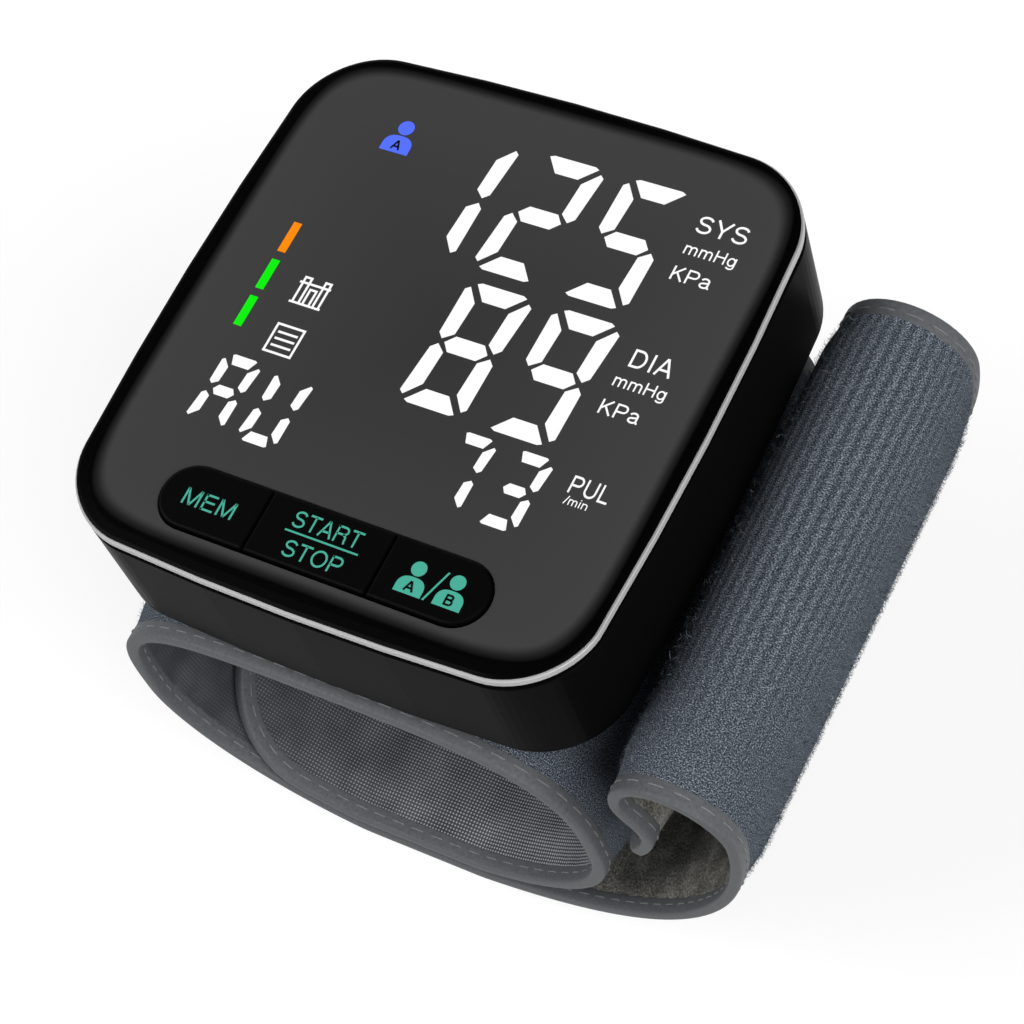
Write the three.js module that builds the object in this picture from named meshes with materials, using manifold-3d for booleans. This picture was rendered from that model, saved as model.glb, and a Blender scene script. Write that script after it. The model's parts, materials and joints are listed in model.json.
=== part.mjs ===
// Wrist blood pressure monitor: a flat black case with a glass-like front, carried on a
// fabric cuff that is rolled into a wrist loop. Millimetres, +Z up, front of the case facing +Z,
// lettering reading along +X. The origin lies on the table under the middle of the case.
import * as THREE from 'three';
import { mergeVertices } from 'three/addons/utils/BufferGeometryUtils.js';
import Module from 'manifold-3d';

const wasm = await Module();
wasm.setup();

// Case outline at the trim ring: half width of the straight rectangle, room past the battery
// contacts at each end, corner radius, and how far each side bows outward in the middle
const case_half_x = 33.6;
const case_end_room = 9.8;
const corner_r = 9.7;
const side_bow = 1.4;

// Case heights, measured from the middle of the trim ring
const case_depth = 18.2;
const case_wall = 1.6;
const case_floor = 1.5;
const foot_round = 0.8;
const ring_half_h = 0.5;
const ring_w = 1.4;
const groove_h = 0.9;
const groove_depth = 1.0;
const lens_edge = 0.2;
const lens_crown = 0.4;
const lens_border = 5.0;
const lens_inset = 0.3;
const lens_t = 1.4;
const rim_w = 2.6;
const rim_h = 3.9;

// Clearances: between pieces that seat, and between pieces that slide past each other
const fit_gap = 0.1;
const slide_gap = 0.3;

// Keys in one pill-shaped row
const pill_half_x = 21.4;
const pill_half_y = 4.0;
const pill_edge_room = 7.55;
const mem_split_x = -8.45;
const user_split_x = 7.8;
const key_proud = 0.5;
const key_round = 0.3;
const key_travel = 0.4;
const key_stem_r = 1.2;
const switch_offset = 2.55;
const switch_size = 4.5;
const switch_h = 1.6;

// Battery door: a cap over the left side, cut by a sloping front line and a chamfered corner
const door_foot_w = 8.4;
const door_waist_w = 7.0;
const door_waist_h = 6.2;
const door_chamfer = 4.4;
const door_gap = 0.3;

// Two AAA cells side by side along Y, with a contact plate and a spring at each end
const cell_r = 5.25;
const cell_len = 44.0;
const cell_nub_r = 1.9;
const cell_nub_len = 0.9;
const cell_side_room = 2.8;
const contact_t = 0.4;
const spring_len = 3.0;
const spring_r = 2.6;
const spring_wire_r = 0.3;
const spring_turns = 3;

// Circuit board and the parts on it
const board_side_room = 4.6;
const board_end_room = 7.7;
const board_t = 1.2;
const board_lift = 0.5;
const display_side_room = 8.6;
const display_top_room = 12.3;
const display_key_room = 6.75;
const sensor_size = 7.0;
const sensor_h = 3.4;

// Air parts
const motor_r = 5.2;
const motor_len = 19.0;
const pump_side_room = 4.4;
const pump_y = -4.0;
const pump_head_len = 9.0;
const tube_r = 1.2;
const tee_size = 6.0;
const nozzle_x = 0.0;
const nozzle_y = 4.0;
const nozzle_r = 2.0;
const nozzle_bore_r = 0.9;
const valve_r = 4.2;
const valve_head_room = 0.5;
const valve_x = 6.0;
const valve_end_room = 7.6;

// Screws that hold the rim to the tub, in bosses near the front and back walls
const screw_side_room = 12.1;
const screw_end_room = 4.6;
const screw_r = 1.0;
const screw_head_r = 2.0;
const screw_head_h = 0.8;
const screw_len = 8.0;
const boss_wall = 1.0;
const boss_h = 3.0;

// Cuff: inside of the wrist loop, its place under the case, and the strip that forms it
const wrist_w = 59.0;
const wrist_h = 41.4;
const wrist_top_power = 3.4;
const wrist_low_power = 1.95;
const rest_flat_cut = 1.0;
const loop_x = -1.35;
const cuff_y = -3.6;
const cuff_half_w = 33.8;
const plate_t = 0.8;
const plate_w = 38.0;
const plate_l = 46.0;
const lap_gap = 0.3;
const layer_gap = 0.1;

// Cuff layers from the outside in, with the binding tape folded over all edges
const cover_t = 0.9;
const stiffener_t = 0.4;
const bladder_t = 0.5;
const lining_t = 0.5;
const strap_cover_t = 1.1;
const strap_lining_t = 0.8;
const binding_t = 0.35;
const binding_face = 2.2;
const binding_web = 0.5;
const bladder_margin = 6.0;
const stiffener_margin = 4.0;

// Ends of the strip and the roll at the right of the case
const tail_angle_deg = -164;
const tail_corner_r = 18.0;
const leave_angle_deg = 288.3;
const rise_start_pull = 1.85;
const rise_end_pull = 0.37;
const roll_case_gap = 0.8;
const roll_w = 16.65;
const roll_shoulder_h = 22.2;
const roll_top_h = 31.6;
const strap_tip_h = 6.4;
const strap_tip_shift = -1.9;
const hang_lean = 6.8;
const hang_start_pull = 0.28;
const hang_end_pull = 0.68;
const strap_corner_r = 4.5;
const fold_angle_deg = 50;
const strip_step = 3.6;
const corner_facets = 5;

// Sizes that follow from the ones above
const contact_y = cell_len / 2 + spring_len + fit_gap;
const case_half_y = contact_y + contact_t + case_end_room;
const pill_y = pill_edge_room - case_half_y;
const switch_y = pill_y + switch_offset;
const door_foot_x = case_half_x - door_foot_w;
const door_waist_x = case_half_x - door_waist_w;
const board_half_x = case_half_x - board_side_room;
const board_half_y = case_half_y - board_end_room;
const display_w = 2 * (case_half_x - display_side_room);
const display_high_y = case_half_y - display_top_room;
const display_low_y = pill_y + pill_half_y + display_key_room;
const display_l = display_high_y - display_low_y;
const display_y = (display_high_y + display_low_y) / 2;
const pump_x = case_half_x - pump_side_room - motor_r;
const valve_len = 2 * cell_r - valve_head_room;
const valve_y = board_half_y - valve_end_room;
const screw_x = case_half_x - screw_side_room;
const screw_y = case_half_y - screw_end_room;
const cuff_t = cover_t + stiffener_t + bladder_t + lining_t + 3 * layer_gap + binding_t;
const strap_t = strap_cover_t + strap_lining_t + layer_gap + binding_t;
const loop_floor_z = strap_t + lap_gap + cuff_t;
const loop_z = loop_floor_z + wrist_h / 2;
const roll_shoulder_z = loop_z + roll_shoulder_h;
const roll_top_z = loop_z + roll_top_h;
const strap_tip_z = loop_z + strap_tip_h;
const cuff_top_z = loop_floor_z + wrist_h + cuff_t;
const case_foot_z = cuff_top_z + 2 * fit_gap + plate_t;
const ring_z = case_foot_z + case_depth;
const floor_z = case_foot_z + case_floor;
const lens_seat_z = ring_z + ring_half_h + fit_gap;
const lens_flat_z = lens_seat_z + lens_edge + lens_crown;
const rim_low_z = lens_seat_z - fit_gap - rim_h;
const cell_z = floor_z + slide_gap + cell_r;
const board_z = cell_z + cell_r + board_lift;
const board_top_z = board_z + board_t;
const switch_top_z = board_top_z + fit_gap + switch_h;
const key_top_z = lens_flat_z + key_proud;
const stem_low_z = switch_top_z + key_travel + fit_gap;
const motor_z = floor_z + slide_gap + motor_r;
const tee_low_z = floor_z + 2 * slide_gap;
const tee_top_z = tee_low_z + tee_size;
const inner_edge = binding_web + layer_gap;

const deg = Math.PI / 180;

// Closed mesh to solid and back, for joins and cuts
function toSolid(geometry) {
  const bare = geometry.clone();
  bare.deleteAttribute('normal');
  bare.deleteAttribute('uv');
  const merged = mergeVertices(bare, 1e-5);
  const vertProperties = new Float32Array(merged.attributes.position.array);
  const triVerts = new Uint32Array(merged.index.array);
  return new wasm.Manifold(new wasm.Mesh({ numProp: 3, vertProperties, triVerts }));
}

function toGeometry(solid) {
  const mesh = solid.getMesh();
  const geometry = new THREE.BufferGeometry();
  geometry.setAttribute('position', new THREE.BufferAttribute(new Float32Array(mesh.vertProperties), 3));
  geometry.setIndex(new THREE.BufferAttribute(new Uint32Array(mesh.triVerts), 1));
  return geometry;
}

function fuse(first, ...others) {
  return toGeometry(others.reduce((sum, g) => sum.add(toSolid(g)), toSolid(first)));
}

function cut(first, ...others) {
  return toGeometry(others.reduce((sum, g) => sum.subtract(toSolid(g)), toSolid(first)));
}

function common(first, second) {
  return toGeometry(toSolid(first).intersect(toSolid(second)));
}

// Sections of equal point count joined into one closed body, with flat ends
function sweep(sections, cap) {
  const count = sections[0].length;
  const positions = sections.flat().flatMap((p) => [p.x, p.y, p.z]);
  const index = [];
  for (let row = 0; row + 1 < sections.length; row += 1) {
    for (let i = 0; i < count; i += 1) {
      const a = row * count + i;
      const b = row * count + ((i + 1) % count);
      index.push(a, b, b + count, a, b + count, a + count);
    }
  }
  const last = (sections.length - 1) * count;
  for (const [i, j, k] of THREE.ShapeUtils.triangulateShape(cap, [])) {
    index.push(i, k, j, last + i, last + j, last + k);
  }
  const geometry = new THREE.BufferGeometry();
  geometry.setAttribute('position', new THREE.Float32BufferAttribute(positions, 3));
  geometry.setIndex(signedVolume(positions, index) < 0 ? index.reverse() : index);
  return geometry;
}

function signedVolume(positions, index) {
  const corner = (i) => new THREE.Vector3().fromArray(positions, 3 * i);
  let volume = 0;
  for (let i = 0; i < index.length; i += 3) {
    volume += corner(index[i]).dot(corner(index[i + 1]).cross(corner(index[i + 2])));
  }
  return volume;
}

// Case outline, pulled in by an inset: a rounded rectangle whose sides bow outward
function outline(inset) {
  const half_x = case_half_x - inset;
  const half_y = case_half_y - inset;
  const radius = Math.max(corner_r - inset, corner_r / 6);
  const shape = new THREE.Shape();
  shape.absarc(half_x - radius, half_y - radius, radius, 0, Math.PI / 2);
  shape.absarc(radius - half_x, half_y - radius, radius, Math.PI / 2, Math.PI);
  shape.absarc(radius - half_x, radius - half_y, radius, Math.PI, 1.5 * Math.PI);
  shape.absarc(half_x - radius, radius - half_y, radius, 1.5 * Math.PI, 2 * Math.PI);
  const corners = shape.getPoints(8);
  corners.pop();
  const points = [];
  const side_steps = 4;
  corners.forEach((p, i) => {
    const next = corners[(i + 1) % corners.length];
    const steps = p.distanceTo(next) > radius ? side_steps : 1;
    for (let k = 0; k < steps; k += 1) points.push(p.clone().lerp(next, k / steps));
  });
  return points.map((p) => new THREE.Vector2(
    p.x + side_bow * (p.x / half_x) * (1 - (p.y / half_y) ** 2),
    p.y + side_bow * (p.y / half_y) * (1 - (p.x / half_x) ** 2),
  ));
}

// Stack of case outlines, each with its inset and height, as one body
function caseLoft(levels) {
  const rings = levels.map(([inset, z]) => outline(inset).map((p) => new THREE.Vector3(p.x, p.y, z)));
  return sweep(rings, outline(0));
}

function box(size_x, size_y, size_z, x, y, low_z) {
  const geometry = new THREE.BoxGeometry(size_x, size_y, size_z);
  return geometry.translate(x, y, low_z + size_z / 2);
}

// Upright round body from half of its section, given as radius and height
function turned(profile, x, y, sides = 24) {
  const points = profile.map(([radius, z]) => new THREE.Vector2(radius, z));
  return new THREE.LatheGeometry(points, sides).rotateX(Math.PI / 2).translate(x, y, 0);
}

function post(radius, low_z, high_z, x, y, sides = 24) {
  return turned([[0, low_z], [radius, low_z], [radius, high_z], [0, high_z]], x, y, sides);
}

// Round bar lying along Y
function lyingBar(radius, low_y, high_y, x, z, sides = 24) {
  const bar = new THREE.CylinderGeometry(radius, radius, high_y - low_y, sides);
  return bar.translate(x, (low_y + high_y) / 2, z);
}

// Flat shape raised from one height to another
function raised(shape, low_z, high_z, round = 0, curve_steps = 10) {
  const geometry = new THREE.ExtrudeGeometry(shape, {
    depth: high_z - low_z - 2 * round,
    bevelEnabled: round > 0,
    bevelSize: round,
    bevelThickness: round,
    bevelOffset: -round,
    bevelSegments: 2,
    curveSegments: curve_steps,
  });
  return geometry.translate(0, 0, low_z + round);
}

// Stretch of the pill between two X values; an end past the straight part is a half circle
function pillShape(from_x, to_x, grow) {
  const half_y = pill_half_y + grow;
  const centre_x = pill_half_x - pill_half_y;
  const shape = new THREE.Shape();
  if (to_x > centre_x) shape.absarc(centre_x, pill_y, half_y, -Math.PI / 2, Math.PI / 2);
  else shape.moveTo(to_x, pill_y - half_y).lineTo(to_x, pill_y + half_y);
  if (from_x < -centre_x) shape.absarc(-centre_x, pill_y, half_y, Math.PI / 2, 1.5 * Math.PI);
  else shape.lineTo(from_x, pill_y + half_y).lineTo(from_x, pill_y - half_y);
  shape.closePath();
  return shape;
}

// Front: trim ring, crowned lens with the pill cut out, and the rim that carries both
function trimRing() {
  const band = caseLoft([
    [fit_gap, ring_z - ring_half_h],
    [0, ring_z - ring_half_h + fit_gap],
    [0, ring_z + ring_half_h - fit_gap],
    [fit_gap, ring_z + ring_half_h],
  ]);
  const hole = caseLoft([[ring_w, ring_z - 2 * ring_half_h], [ring_w, ring_z + 2 * ring_half_h]]);
  return cut(band, hole);
}

function frontLens() {
  const levels = [[lens_inset, lens_seat_z], [lens_inset, lens_seat_z + lens_edge]];
  const crown_steps = 4;
  for (let i = 1; i <= crown_steps; i += 1) {
    const turn = (i / crown_steps) * Math.PI / 2;
    const inset = lens_inset + lens_border * (1 - Math.cos(turn));
    levels.push([inset, lens_seat_z + lens_edge + lens_crown * Math.sin(turn)]);
  }
  const window_inset = ring_w + rim_w + 2 * slide_gap;
  const inner = caseLoft([[window_inset, lens_flat_z - lens_t], [window_inset, lens_flat_z - lens_edge]]);
  const slot_shape = pillShape(-pill_half_x, pill_half_x, slide_gap);
  const slot = raised(slot_shape, lens_flat_z - 2 * lens_t, lens_flat_z + lens_t);
  return cut(fuse(caseLoft(levels), inner), slot);
}

function frontRim() {
  const outer_inset = Math.max(case_wall, ring_w) + slide_gap;
  const body = caseLoft([[outer_inset, rim_low_z], [outer_inset, rim_low_z + rim_h]]);
  const inner_inset = ring_w + rim_w;
  const hole = caseLoft([[inner_inset, rim_low_z - rim_h], [inner_inset, rim_low_z + 2 * rim_h]]);
  const frame = cut(body, hole);
  const post_low_z = floor_z + boss_h + fit_gap;
  const post_r = screw_r + fit_gap + boss_wall;
  const bore_r = screw_r + fit_gap;
  const bore_high_z = floor_z + screw_len + 2 * slide_gap;
  const posts = screwPlaces().map(([x, y]) => post(post_r, post_low_z, rim_low_z + rim_h / 2, x, y));
  const bores = screwPlaces().map(([x, y]) => post(bore_r, post_low_z - boss_h, bore_high_z, x, y));
  return cut(fuse(frame, ...posts), ...bores);
}

function screwPlaces() {
  return [[-1, -1], [1, -1], [1, 1], [-1, 1]].map(([sx, sy]) => [sx * screw_x, sy * screw_y]);
}

// Rear tub: wall with a shadow groove under the trim ring, floor, screw bosses and air nozzle hole
function caseShell() {
  const neck_z = ring_z - ring_half_h - groove_h;
  const outer = caseLoft([
    [foot_round, case_foot_z],
    [foot_round * (1 - Math.SQRT1_2), case_foot_z + foot_round * (1 - Math.SQRT1_2)],
    [0, case_foot_z + foot_round],
    [0, neck_z - fit_gap],
    [fit_gap, neck_z],
    [groove_depth, neck_z],
    [groove_depth, ring_z - ring_half_h - fit_gap],
  ]);
  const inner = caseLoft([[case_wall, floor_z], [case_wall, ring_z + ring_half_h]]);
  return cut(outer, inner);
}

// Solid that holds everything left of the door's cut line, moved off the line by a gap
function doorCutter(gap) {
  const low_z = case_foot_z - case_floor;
  const waist_z = case_foot_z + door_waist_h;
  const top_z = waist_z + door_chamfer - gap;
  const far_x = -(case_half_x + 2 * side_bow + case_wall);
  const shape = new THREE.Shape();
  shape.moveTo(far_x, low_z);
  shape.lineTo(-door_foot_x - gap, low_z);
  shape.lineTo(-door_foot_x - gap, case_foot_z);
  shape.lineTo(-door_waist_x - gap, waist_z);
  shape.lineTo(-door_waist_x - door_chamfer - gap, top_z);
  shape.lineTo(far_x, top_z);
  const reach = case_half_y + 2 * side_bow;
  const slab = new THREE.ExtrudeGeometry(shape, { depth: 2 * reach, bevelEnabled: false });
  return slab.rotateX(Math.PI / 2).translate(0, reach, 0);
}

function rearCase() {
  const boss_r = screw_head_r + fit_gap + boss_wall;
  const bosses = screwPlaces().map(([x, y]) => post(boss_r, floor_z - fit_gap, floor_z + boss_h, x, y));
  const bores = screwPlaces().map(([x, y]) => turned([
    [0, case_foot_z - case_floor],
    [screw_head_r + fit_gap, case_foot_z - case_floor],
    [screw_head_r + fit_gap, case_foot_z + screw_head_h + fit_gap],
    [screw_r + fit_gap, case_foot_z + screw_head_h + fit_gap],
    [screw_r + fit_gap, floor_z + boss_h + fit_gap],
    [0, floor_z + boss_h + fit_gap],
  ], x, y));
  const nozzle_hole = post(nozzle_r + fit_gap, case_foot_z - case_floor, floor_z + case_floor, nozzle_x, nozzle_y);
  return cut(fuse(caseShell(), ...bosses), ...bores, nozzle_hole, doorCutter(0));
}

function batteryDoor() {
  return common(caseShell(), doorCutter(door_gap));
}

function caseScrew(x, y) {
  const seat_z = case_foot_z + screw_head_h;
  return turned([
    [0, case_foot_z],
    [screw_head_r, case_foot_z],
    [screw_head_r, seat_z],
    [screw_r, seat_z],
    [screw_r, seat_z + screw_len],
    [0, seat_z + screw_len],
  ], x, y, 16);
}

// Key: a slice of the pill with rounded edges and a stem over its switch
function pressKey(from_x, to_x) {
  const cap_low_z = lens_flat_z - lens_t;
  const cap = raised(pillShape(from_x, to_x, 0), cap_low_z, key_top_z, key_round);
  const stem_x = keyCentre(from_x, to_x);
  return fuse(cap, post(key_stem_r, stem_low_z, key_top_z - key_proud, stem_x, switch_y, 16));
}

function keyCentre(from_x, to_x) {
  return (from_x + to_x) / 2;
}

function tactSwitch(x) {
  const body_h = switch_h * 0.6;
  const low_z = board_top_z + fit_gap;
  const body = box(switch_size, switch_size, body_h, x, switch_y, low_z);
  return fuse(body, post(key_stem_r, low_z + body_h / 2, switch_top_z, x, switch_y, 16));
}

// Electronics
function mainBoard() {
  const shape = new THREE.Shape();
  shape.moveTo(-board_half_x, -board_half_y);
  shape.lineTo(board_half_x, -board_half_y);
  shape.lineTo(board_half_x, board_half_y);
  shape.lineTo(-board_half_x, board_half_y);
  return raised(shape, board_z, board_top_z);
}

function displayModule() {
  const low_z = board_top_z + fit_gap;
  const high_z = lens_flat_z - lens_t - fit_gap;
  const glass = box(display_w, display_l, high_z - low_z, 0, display_y, low_z);
  const ledge_h = (high_z - low_z) / 3;
  const ledge = box(display_w + 2 * case_wall, display_l / 2, ledge_h, 0, display_y, low_z);
  return fuse(glass, ledge);
}

function pressureSensor() {
  const body = box(sensor_size, sensor_size, sensor_h, nozzle_x, nozzle_y, board_z - fit_gap - sensor_h);
  const port_low_z = tee_top_z + fit_gap;
  return fuse(body, post(nozzle_r, port_low_z, board_z - sensor_h / 2, nozzle_x, nozzle_y, 16));
}

// Cells, contacts and springs
function cellCentres() {
  const first = cell_side_room + cell_r - case_half_x;
  return [first, first + 2 * cell_r + slide_gap];
}

function batteryCell(x, facing) {
  const half = cell_len / 2;
  const body = lyingBar(cell_r, -half, half - cell_nub_len, 0, 0);
  const nub = lyingBar(cell_nub_r, 0, half, 0, 0, 16);
  return fuse(body, nub).rotateZ(facing > 0 ? 0 : Math.PI).translate(x, 0, cell_z);
}

function contactPlate(side) {
  const centres = cellCentres();
  const width = centres[1] - centres[0] + 2 * spring_r + 2 * slide_gap;
  const height = 2 * cell_r;
  const middle_x = (centres[0] + centres[1]) / 2;
  return box(width, contact_t, height, middle_x, side * (contact_y + contact_t / 2), floor_z + fit_gap);
}

class CoilCurve extends THREE.Curve {
  getPoint(t, target = new THREE.Vector3()) {
    const turn = 2 * Math.PI * spring_turns * t;
    const radius = (spring_r - spring_wire_r) * (1 - t / 3);
    const rise = (spring_len - 2 * spring_wire_r - 2 * fit_gap) * t;
    return target.set(radius * Math.cos(turn), rise, radius * Math.sin(turn));
  }
}

function batterySpring(x, side) {
  const wire = new THREE.Shape().absarc(0, 0, spring_wire_r, 0, 2 * Math.PI);
  const steps = 10 * spring_turns;
  const coil = new THREE.ExtrudeGeometry(wire, { steps, extrudePath: new CoilCurve(), curveSegments: 5 });
  const start_y = cell_len / 2 + spring_len - spring_wire_r;
  const turned_coil = side > 0 ? coil.rotateZ(Math.PI) : coil;
  return turned_coil.translate(x, side * start_y, cell_z);
}

// Air parts: motor pump, valve, tee over the nozzle, and the tubes between them
function pumpMotor() {
  const high_y = pump_y + motor_len / 2;
  const can = lyingBar(motor_r, pump_y - motor_len / 2, high_y, pump_x, motor_z);
  const bush = lyingBar(motor_r / 3, pump_y - motor_len / 2 - fit_gap, high_y - fit_gap, pump_x, motor_z, 16);
  return fuse(can, bush);
}

function pumpHead() {
  const low_y = pump_y + motor_len / 2 + fit_gap;
  const block = box(2 * motor_r, pump_head_len, 2 * motor_r, pump_x, low_y + pump_head_len / 2, motor_z - motor_r);
  const reach_x = pump_x - motor_r - tube_r;
  const spout = new THREE.CylinderGeometry(tube_r, tube_r, 2 * tube_r, 12).rotateZ(Math.PI / 2);
  return fuse(block, spout.translate(reach_x + tube_r / 2, low_y + pump_head_len / 2, motor_z));
}

function airTee() {
  return box(tee_size, tee_size, tee_size, nozzle_x, nozzle_y, tee_low_z);
}

function airTube(points) {
  const wall = new THREE.Shape().absarc(0, 0, tube_r, 0, 2 * Math.PI);
  const route = new THREE.CatmullRomCurve3(points, false, 'centripetal');
  return new THREE.ExtrudeGeometry(wall, { steps: 14, extrudePath: route, curveSegments: 6 });
}

function pumpTube() {
  const spout_x = pump_x - motor_r - 1.5 * tube_r - slide_gap;
  const spout_y = pump_y + motor_len / 2 + fit_gap + pump_head_len / 2;
  const tee_x = nozzle_x + tee_size / 2 + slide_gap;
  const tee_z = tee_low_z + tee_size / 2;
  const middle_x = (spout_x + tee_x) / 2;
  return airTube([
    new THREE.Vector3(spout_x, spout_y, motor_z),
    new THREE.Vector3(spout_x - tube_r, spout_y, motor_z),
    new THREE.Vector3(middle_x, (spout_y + nozzle_y) / 2, (motor_z + tee_z) / 2),
    new THREE.Vector3(tee_x + tube_r, nozzle_y, tee_z),
    new THREE.Vector3(tee_x, nozzle_y, tee_z),
  ]);
}

function valveTube() {
  const tee_y = nozzle_y + tee_size / 2 + slide_gap;
  const tee_z = tee_low_z + tee_size / 2;
  const end_y = valve_y - valve_r - slide_gap;
  return airTube([
    new THREE.Vector3(nozzle_x, tee_y, tee_z),
    new THREE.Vector3(nozzle_x, tee_y + tube_r, tee_z),
    new THREE.Vector3((nozzle_x + valve_x) / 2, (tee_y + end_y) / 2, tee_z),
    new THREE.Vector3(valve_x, end_y - tube_r, tee_z),
    new THREE.Vector3(valve_x, end_y, tee_z),
  ]);
}

function exhaustValve() {
  const low_z = floor_z + slide_gap;
  return turned([
    [0, low_z],
    [valve_r, low_z],
    [valve_r, low_z + valve_len * 0.7],
    [valve_r * 0.8, low_z + valve_len * 0.7],
    [valve_r * 0.8, low_z + valve_len],
    [0, low_z + valve_len],
  ], valve_x, valve_y);
}

function cuffNozzle() {
  const low_z = cuff_top_z - cover_t - stiffener_t - layer_gap;
  const high_z = tee_low_z - fit_gap;
  return turned([
    [nozzle_bore_r, low_z],
    [nozzle_r, low_z],
    [nozzle_r, high_z],
    [nozzle_bore_r, high_z],
    [nozzle_bore_r, low_z],
  ], nozzle_x, nozzle_y, 16);
}

function nozzleHole(low_z, high_z) {
  return post(nozzle_r + slide_gap, low_z, high_z, nozzle_x, nozzle_y);
}

function cuffMountPlate() {
  const low_z = cuff_top_z + fit_gap;
  const round = 4 * case_wall;
  const half_w = plate_w / 2;
  const half_l = plate_l / 2;
  const shape = new THREE.Shape();
  shape.absarc(half_w - round, half_l - round, round, 0, Math.PI / 2);
  shape.absarc(round - half_w, half_l - round, round, Math.PI / 2, Math.PI);
  shape.absarc(round - half_w, round - half_l, round, Math.PI, 1.5 * Math.PI);
  shape.absarc(half_w - round, round - half_l, round, 1.5 * Math.PI, 2 * Math.PI);
  const plate = raised(shape, low_z, low_z + plate_t, 0, 6);
  return cut(plate, nozzleHole(low_z - plate_t, low_z + 2 * plate_t));
}

// Middle line of the cuff strip, seen along Y: from the tail inside the loop, once round the
// wrist, under the tail again, and up into the roll beside the case
function ovalPoint(angle) {
  const c = Math.cos(angle);
  const s = Math.sin(angle);
  const power = 2 / (s > 0 ? wrist_top_power : wrist_low_power);
  const rise = s > 0 ? wrist_h / 2 : wrist_h / 2 + rest_flat_cut;
  const x = loop_x + (wrist_w / 2) * Math.sign(c) * Math.abs(c) ** power;
  const z = loop_z + rise * Math.sign(s) * Math.abs(s) ** power;
  return new THREE.Vector2(x, Math.max(z, loop_floor_z));
}

function outward(before, after) {
  const along = after.clone().sub(before).normalize();
  return new THREE.Vector2(along.y, -along.x);
}

function lapPoints() {
  const tail = tail_angle_deg * deg;
  const top = Math.PI / 2;
  const lap_step = cuff_t / 2 + lap_gap + strap_t / 2;
  const count = 360;
  const points = [];
  for (let i = 0; i <= count; i += 1) {
    const angle = THREE.MathUtils.lerp(tail, leave_angle_deg * deg, i / count);
    const normal = outward(ovalPoint(angle - deg), ovalPoint(angle + deg));
    const share = THREE.MathUtils.smoothstep(angle, top, tail + 2 * Math.PI);
    points.push(ovalPoint(angle).addScaledVector(normal, cuff_t / 2 + share * lap_step));
  }
  return points;
}

function rollPoints(start, direction) {
  const left_x = case_half_x + side_bow + roll_case_gap + strap_t / 2;
  const half_w = (roll_w - strap_t) / 2;
  const right = new THREE.Vector2(left_x + 2 * half_w, roll_shoulder_z);
  const top_rise = roll_top_z - strap_t / 2 - roll_shoulder_z;
  const reach = start.distanceTo(right) / 3;
  const rise = new THREE.CubicBezierCurve(
    start,
    start.clone().addScaledVector(direction, rise_start_pull * reach),
    right.clone().add(new THREE.Vector2(0, -rise_end_pull * reach)),
    right,
  );
  const over = new THREE.EllipseCurve(left_x + half_w, roll_shoulder_z, half_w, top_rise, 0, Math.PI);
  const left = new THREE.Vector2(left_x, roll_shoulder_z);
  const tip = new THREE.Vector2(left_x + strap_tip_shift, strap_tip_z);
  const drop = left.y - tip.y;
  const hang = new THREE.CubicBezierCurve(
    left,
    left.clone().add(new THREE.Vector2(0, -hang_start_pull * drop)),
    new THREE.Vector2(left_x + hang_lean, tip.y + hang_end_pull * drop),
    tip,
  );
  return [rise, over, hang].flatMap((curve) => curve.getPoints(80).slice(1));
}

function stripPath() {
  const lap = lapPoints();
  const end = lap[lap.length - 1];
  const direction = end.clone().sub(lap[lap.length - 2]).normalize();
  const points = [...lap, ...rollPoints(end, direction)];
  const lengths = [0];
  for (let i = 1; i < points.length; i += 1) lengths.push(lengths[i - 1] + points[i].distanceTo(points[i - 1]));
  const normals = points.map((p, i) => {
    const before = points[Math.max(i - 2, 0)];
    const after = points[Math.min(i + 2, points.length - 1)];
    return outward(before, after);
  });
  const fold = points.findIndex((p, i) => i > 180 && p.x > points[i - 1].x);
  return { points, lengths, normals, length: lengths[lengths.length - 1], fold: lengths[fold] };
}

const path = stripPath();

// Point of the strip at a length along it, across it (Y) and off its middle line
function stripPoint(s, across, off) {
  const at = THREE.MathUtils.clamp(s, 0, path.length);
  let i = path.lengths.findIndex((length) => length > at);
  i = i < 1 ? path.points.length - 1 : i;
  const share = (at - path.lengths[i - 1]) / (path.lengths[i] - path.lengths[i - 1]);
  const p = path.points[i - 1].clone().lerp(path.points[i], share);
  const normal = path.normals[i - 1].clone().lerp(path.normals[i], share).normalize();
  p.addScaledVector(normal, off);
  return new THREE.Vector3(p.x, cuff_y + across, p.y);
}

// Lengths at which the strip is cut into flat facets, finer round the corners of its free end
function stations(fold_s, end_s, corner, inset) {
  const inward = Math.sign(fold_s - end_s);
  const first = end_s + inward * inset;
  const radius = corner - inset;
  const list = [];
  for (let i = 0; i < corner_facets; i += 1) {
    list.push(first + inward * radius * (1 - Math.cos((i / corner_facets) * Math.PI / 2)));
  }
  const straight_from = first + inward * radius;
  const count = Math.ceil(Math.abs(fold_s - straight_from) / strip_step);
  for (let i = 0; i <= count; i += 1) list.push(THREE.MathUtils.lerp(straight_from, fold_s, i / count));
  return list;
}

function halfWidth(distance, inset, corner) {
  const radius = corner - inset;
  const short = Math.max(radius - distance, 0);
  return cuff_half_w - inset - radius + Math.sqrt(radius ** 2 - short ** 2);
}

// One layer of the strip between two offsets, with rounded corners at its free end
function stripLayer(end, inset, low, high) {
  const rows = stations(end.fold_s, end.end_s, end.corner, inset);
  const sections = rows.map((s) => {
    const half = halfWidth(Math.abs(s - rows[0]), inset, end.corner);
    return [
      stripPoint(s, -half, low),
      stripPoint(s, half, low),
      stripPoint(s, half, high),
      stripPoint(s, -half, high),
    ];
  });
  const cap = [[0, 0], [1, 0], [1, 1], [0, 1]].map(([x, y]) => new THREE.Vector2(x, y));
  return sweep(sections, cap);
}

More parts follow.
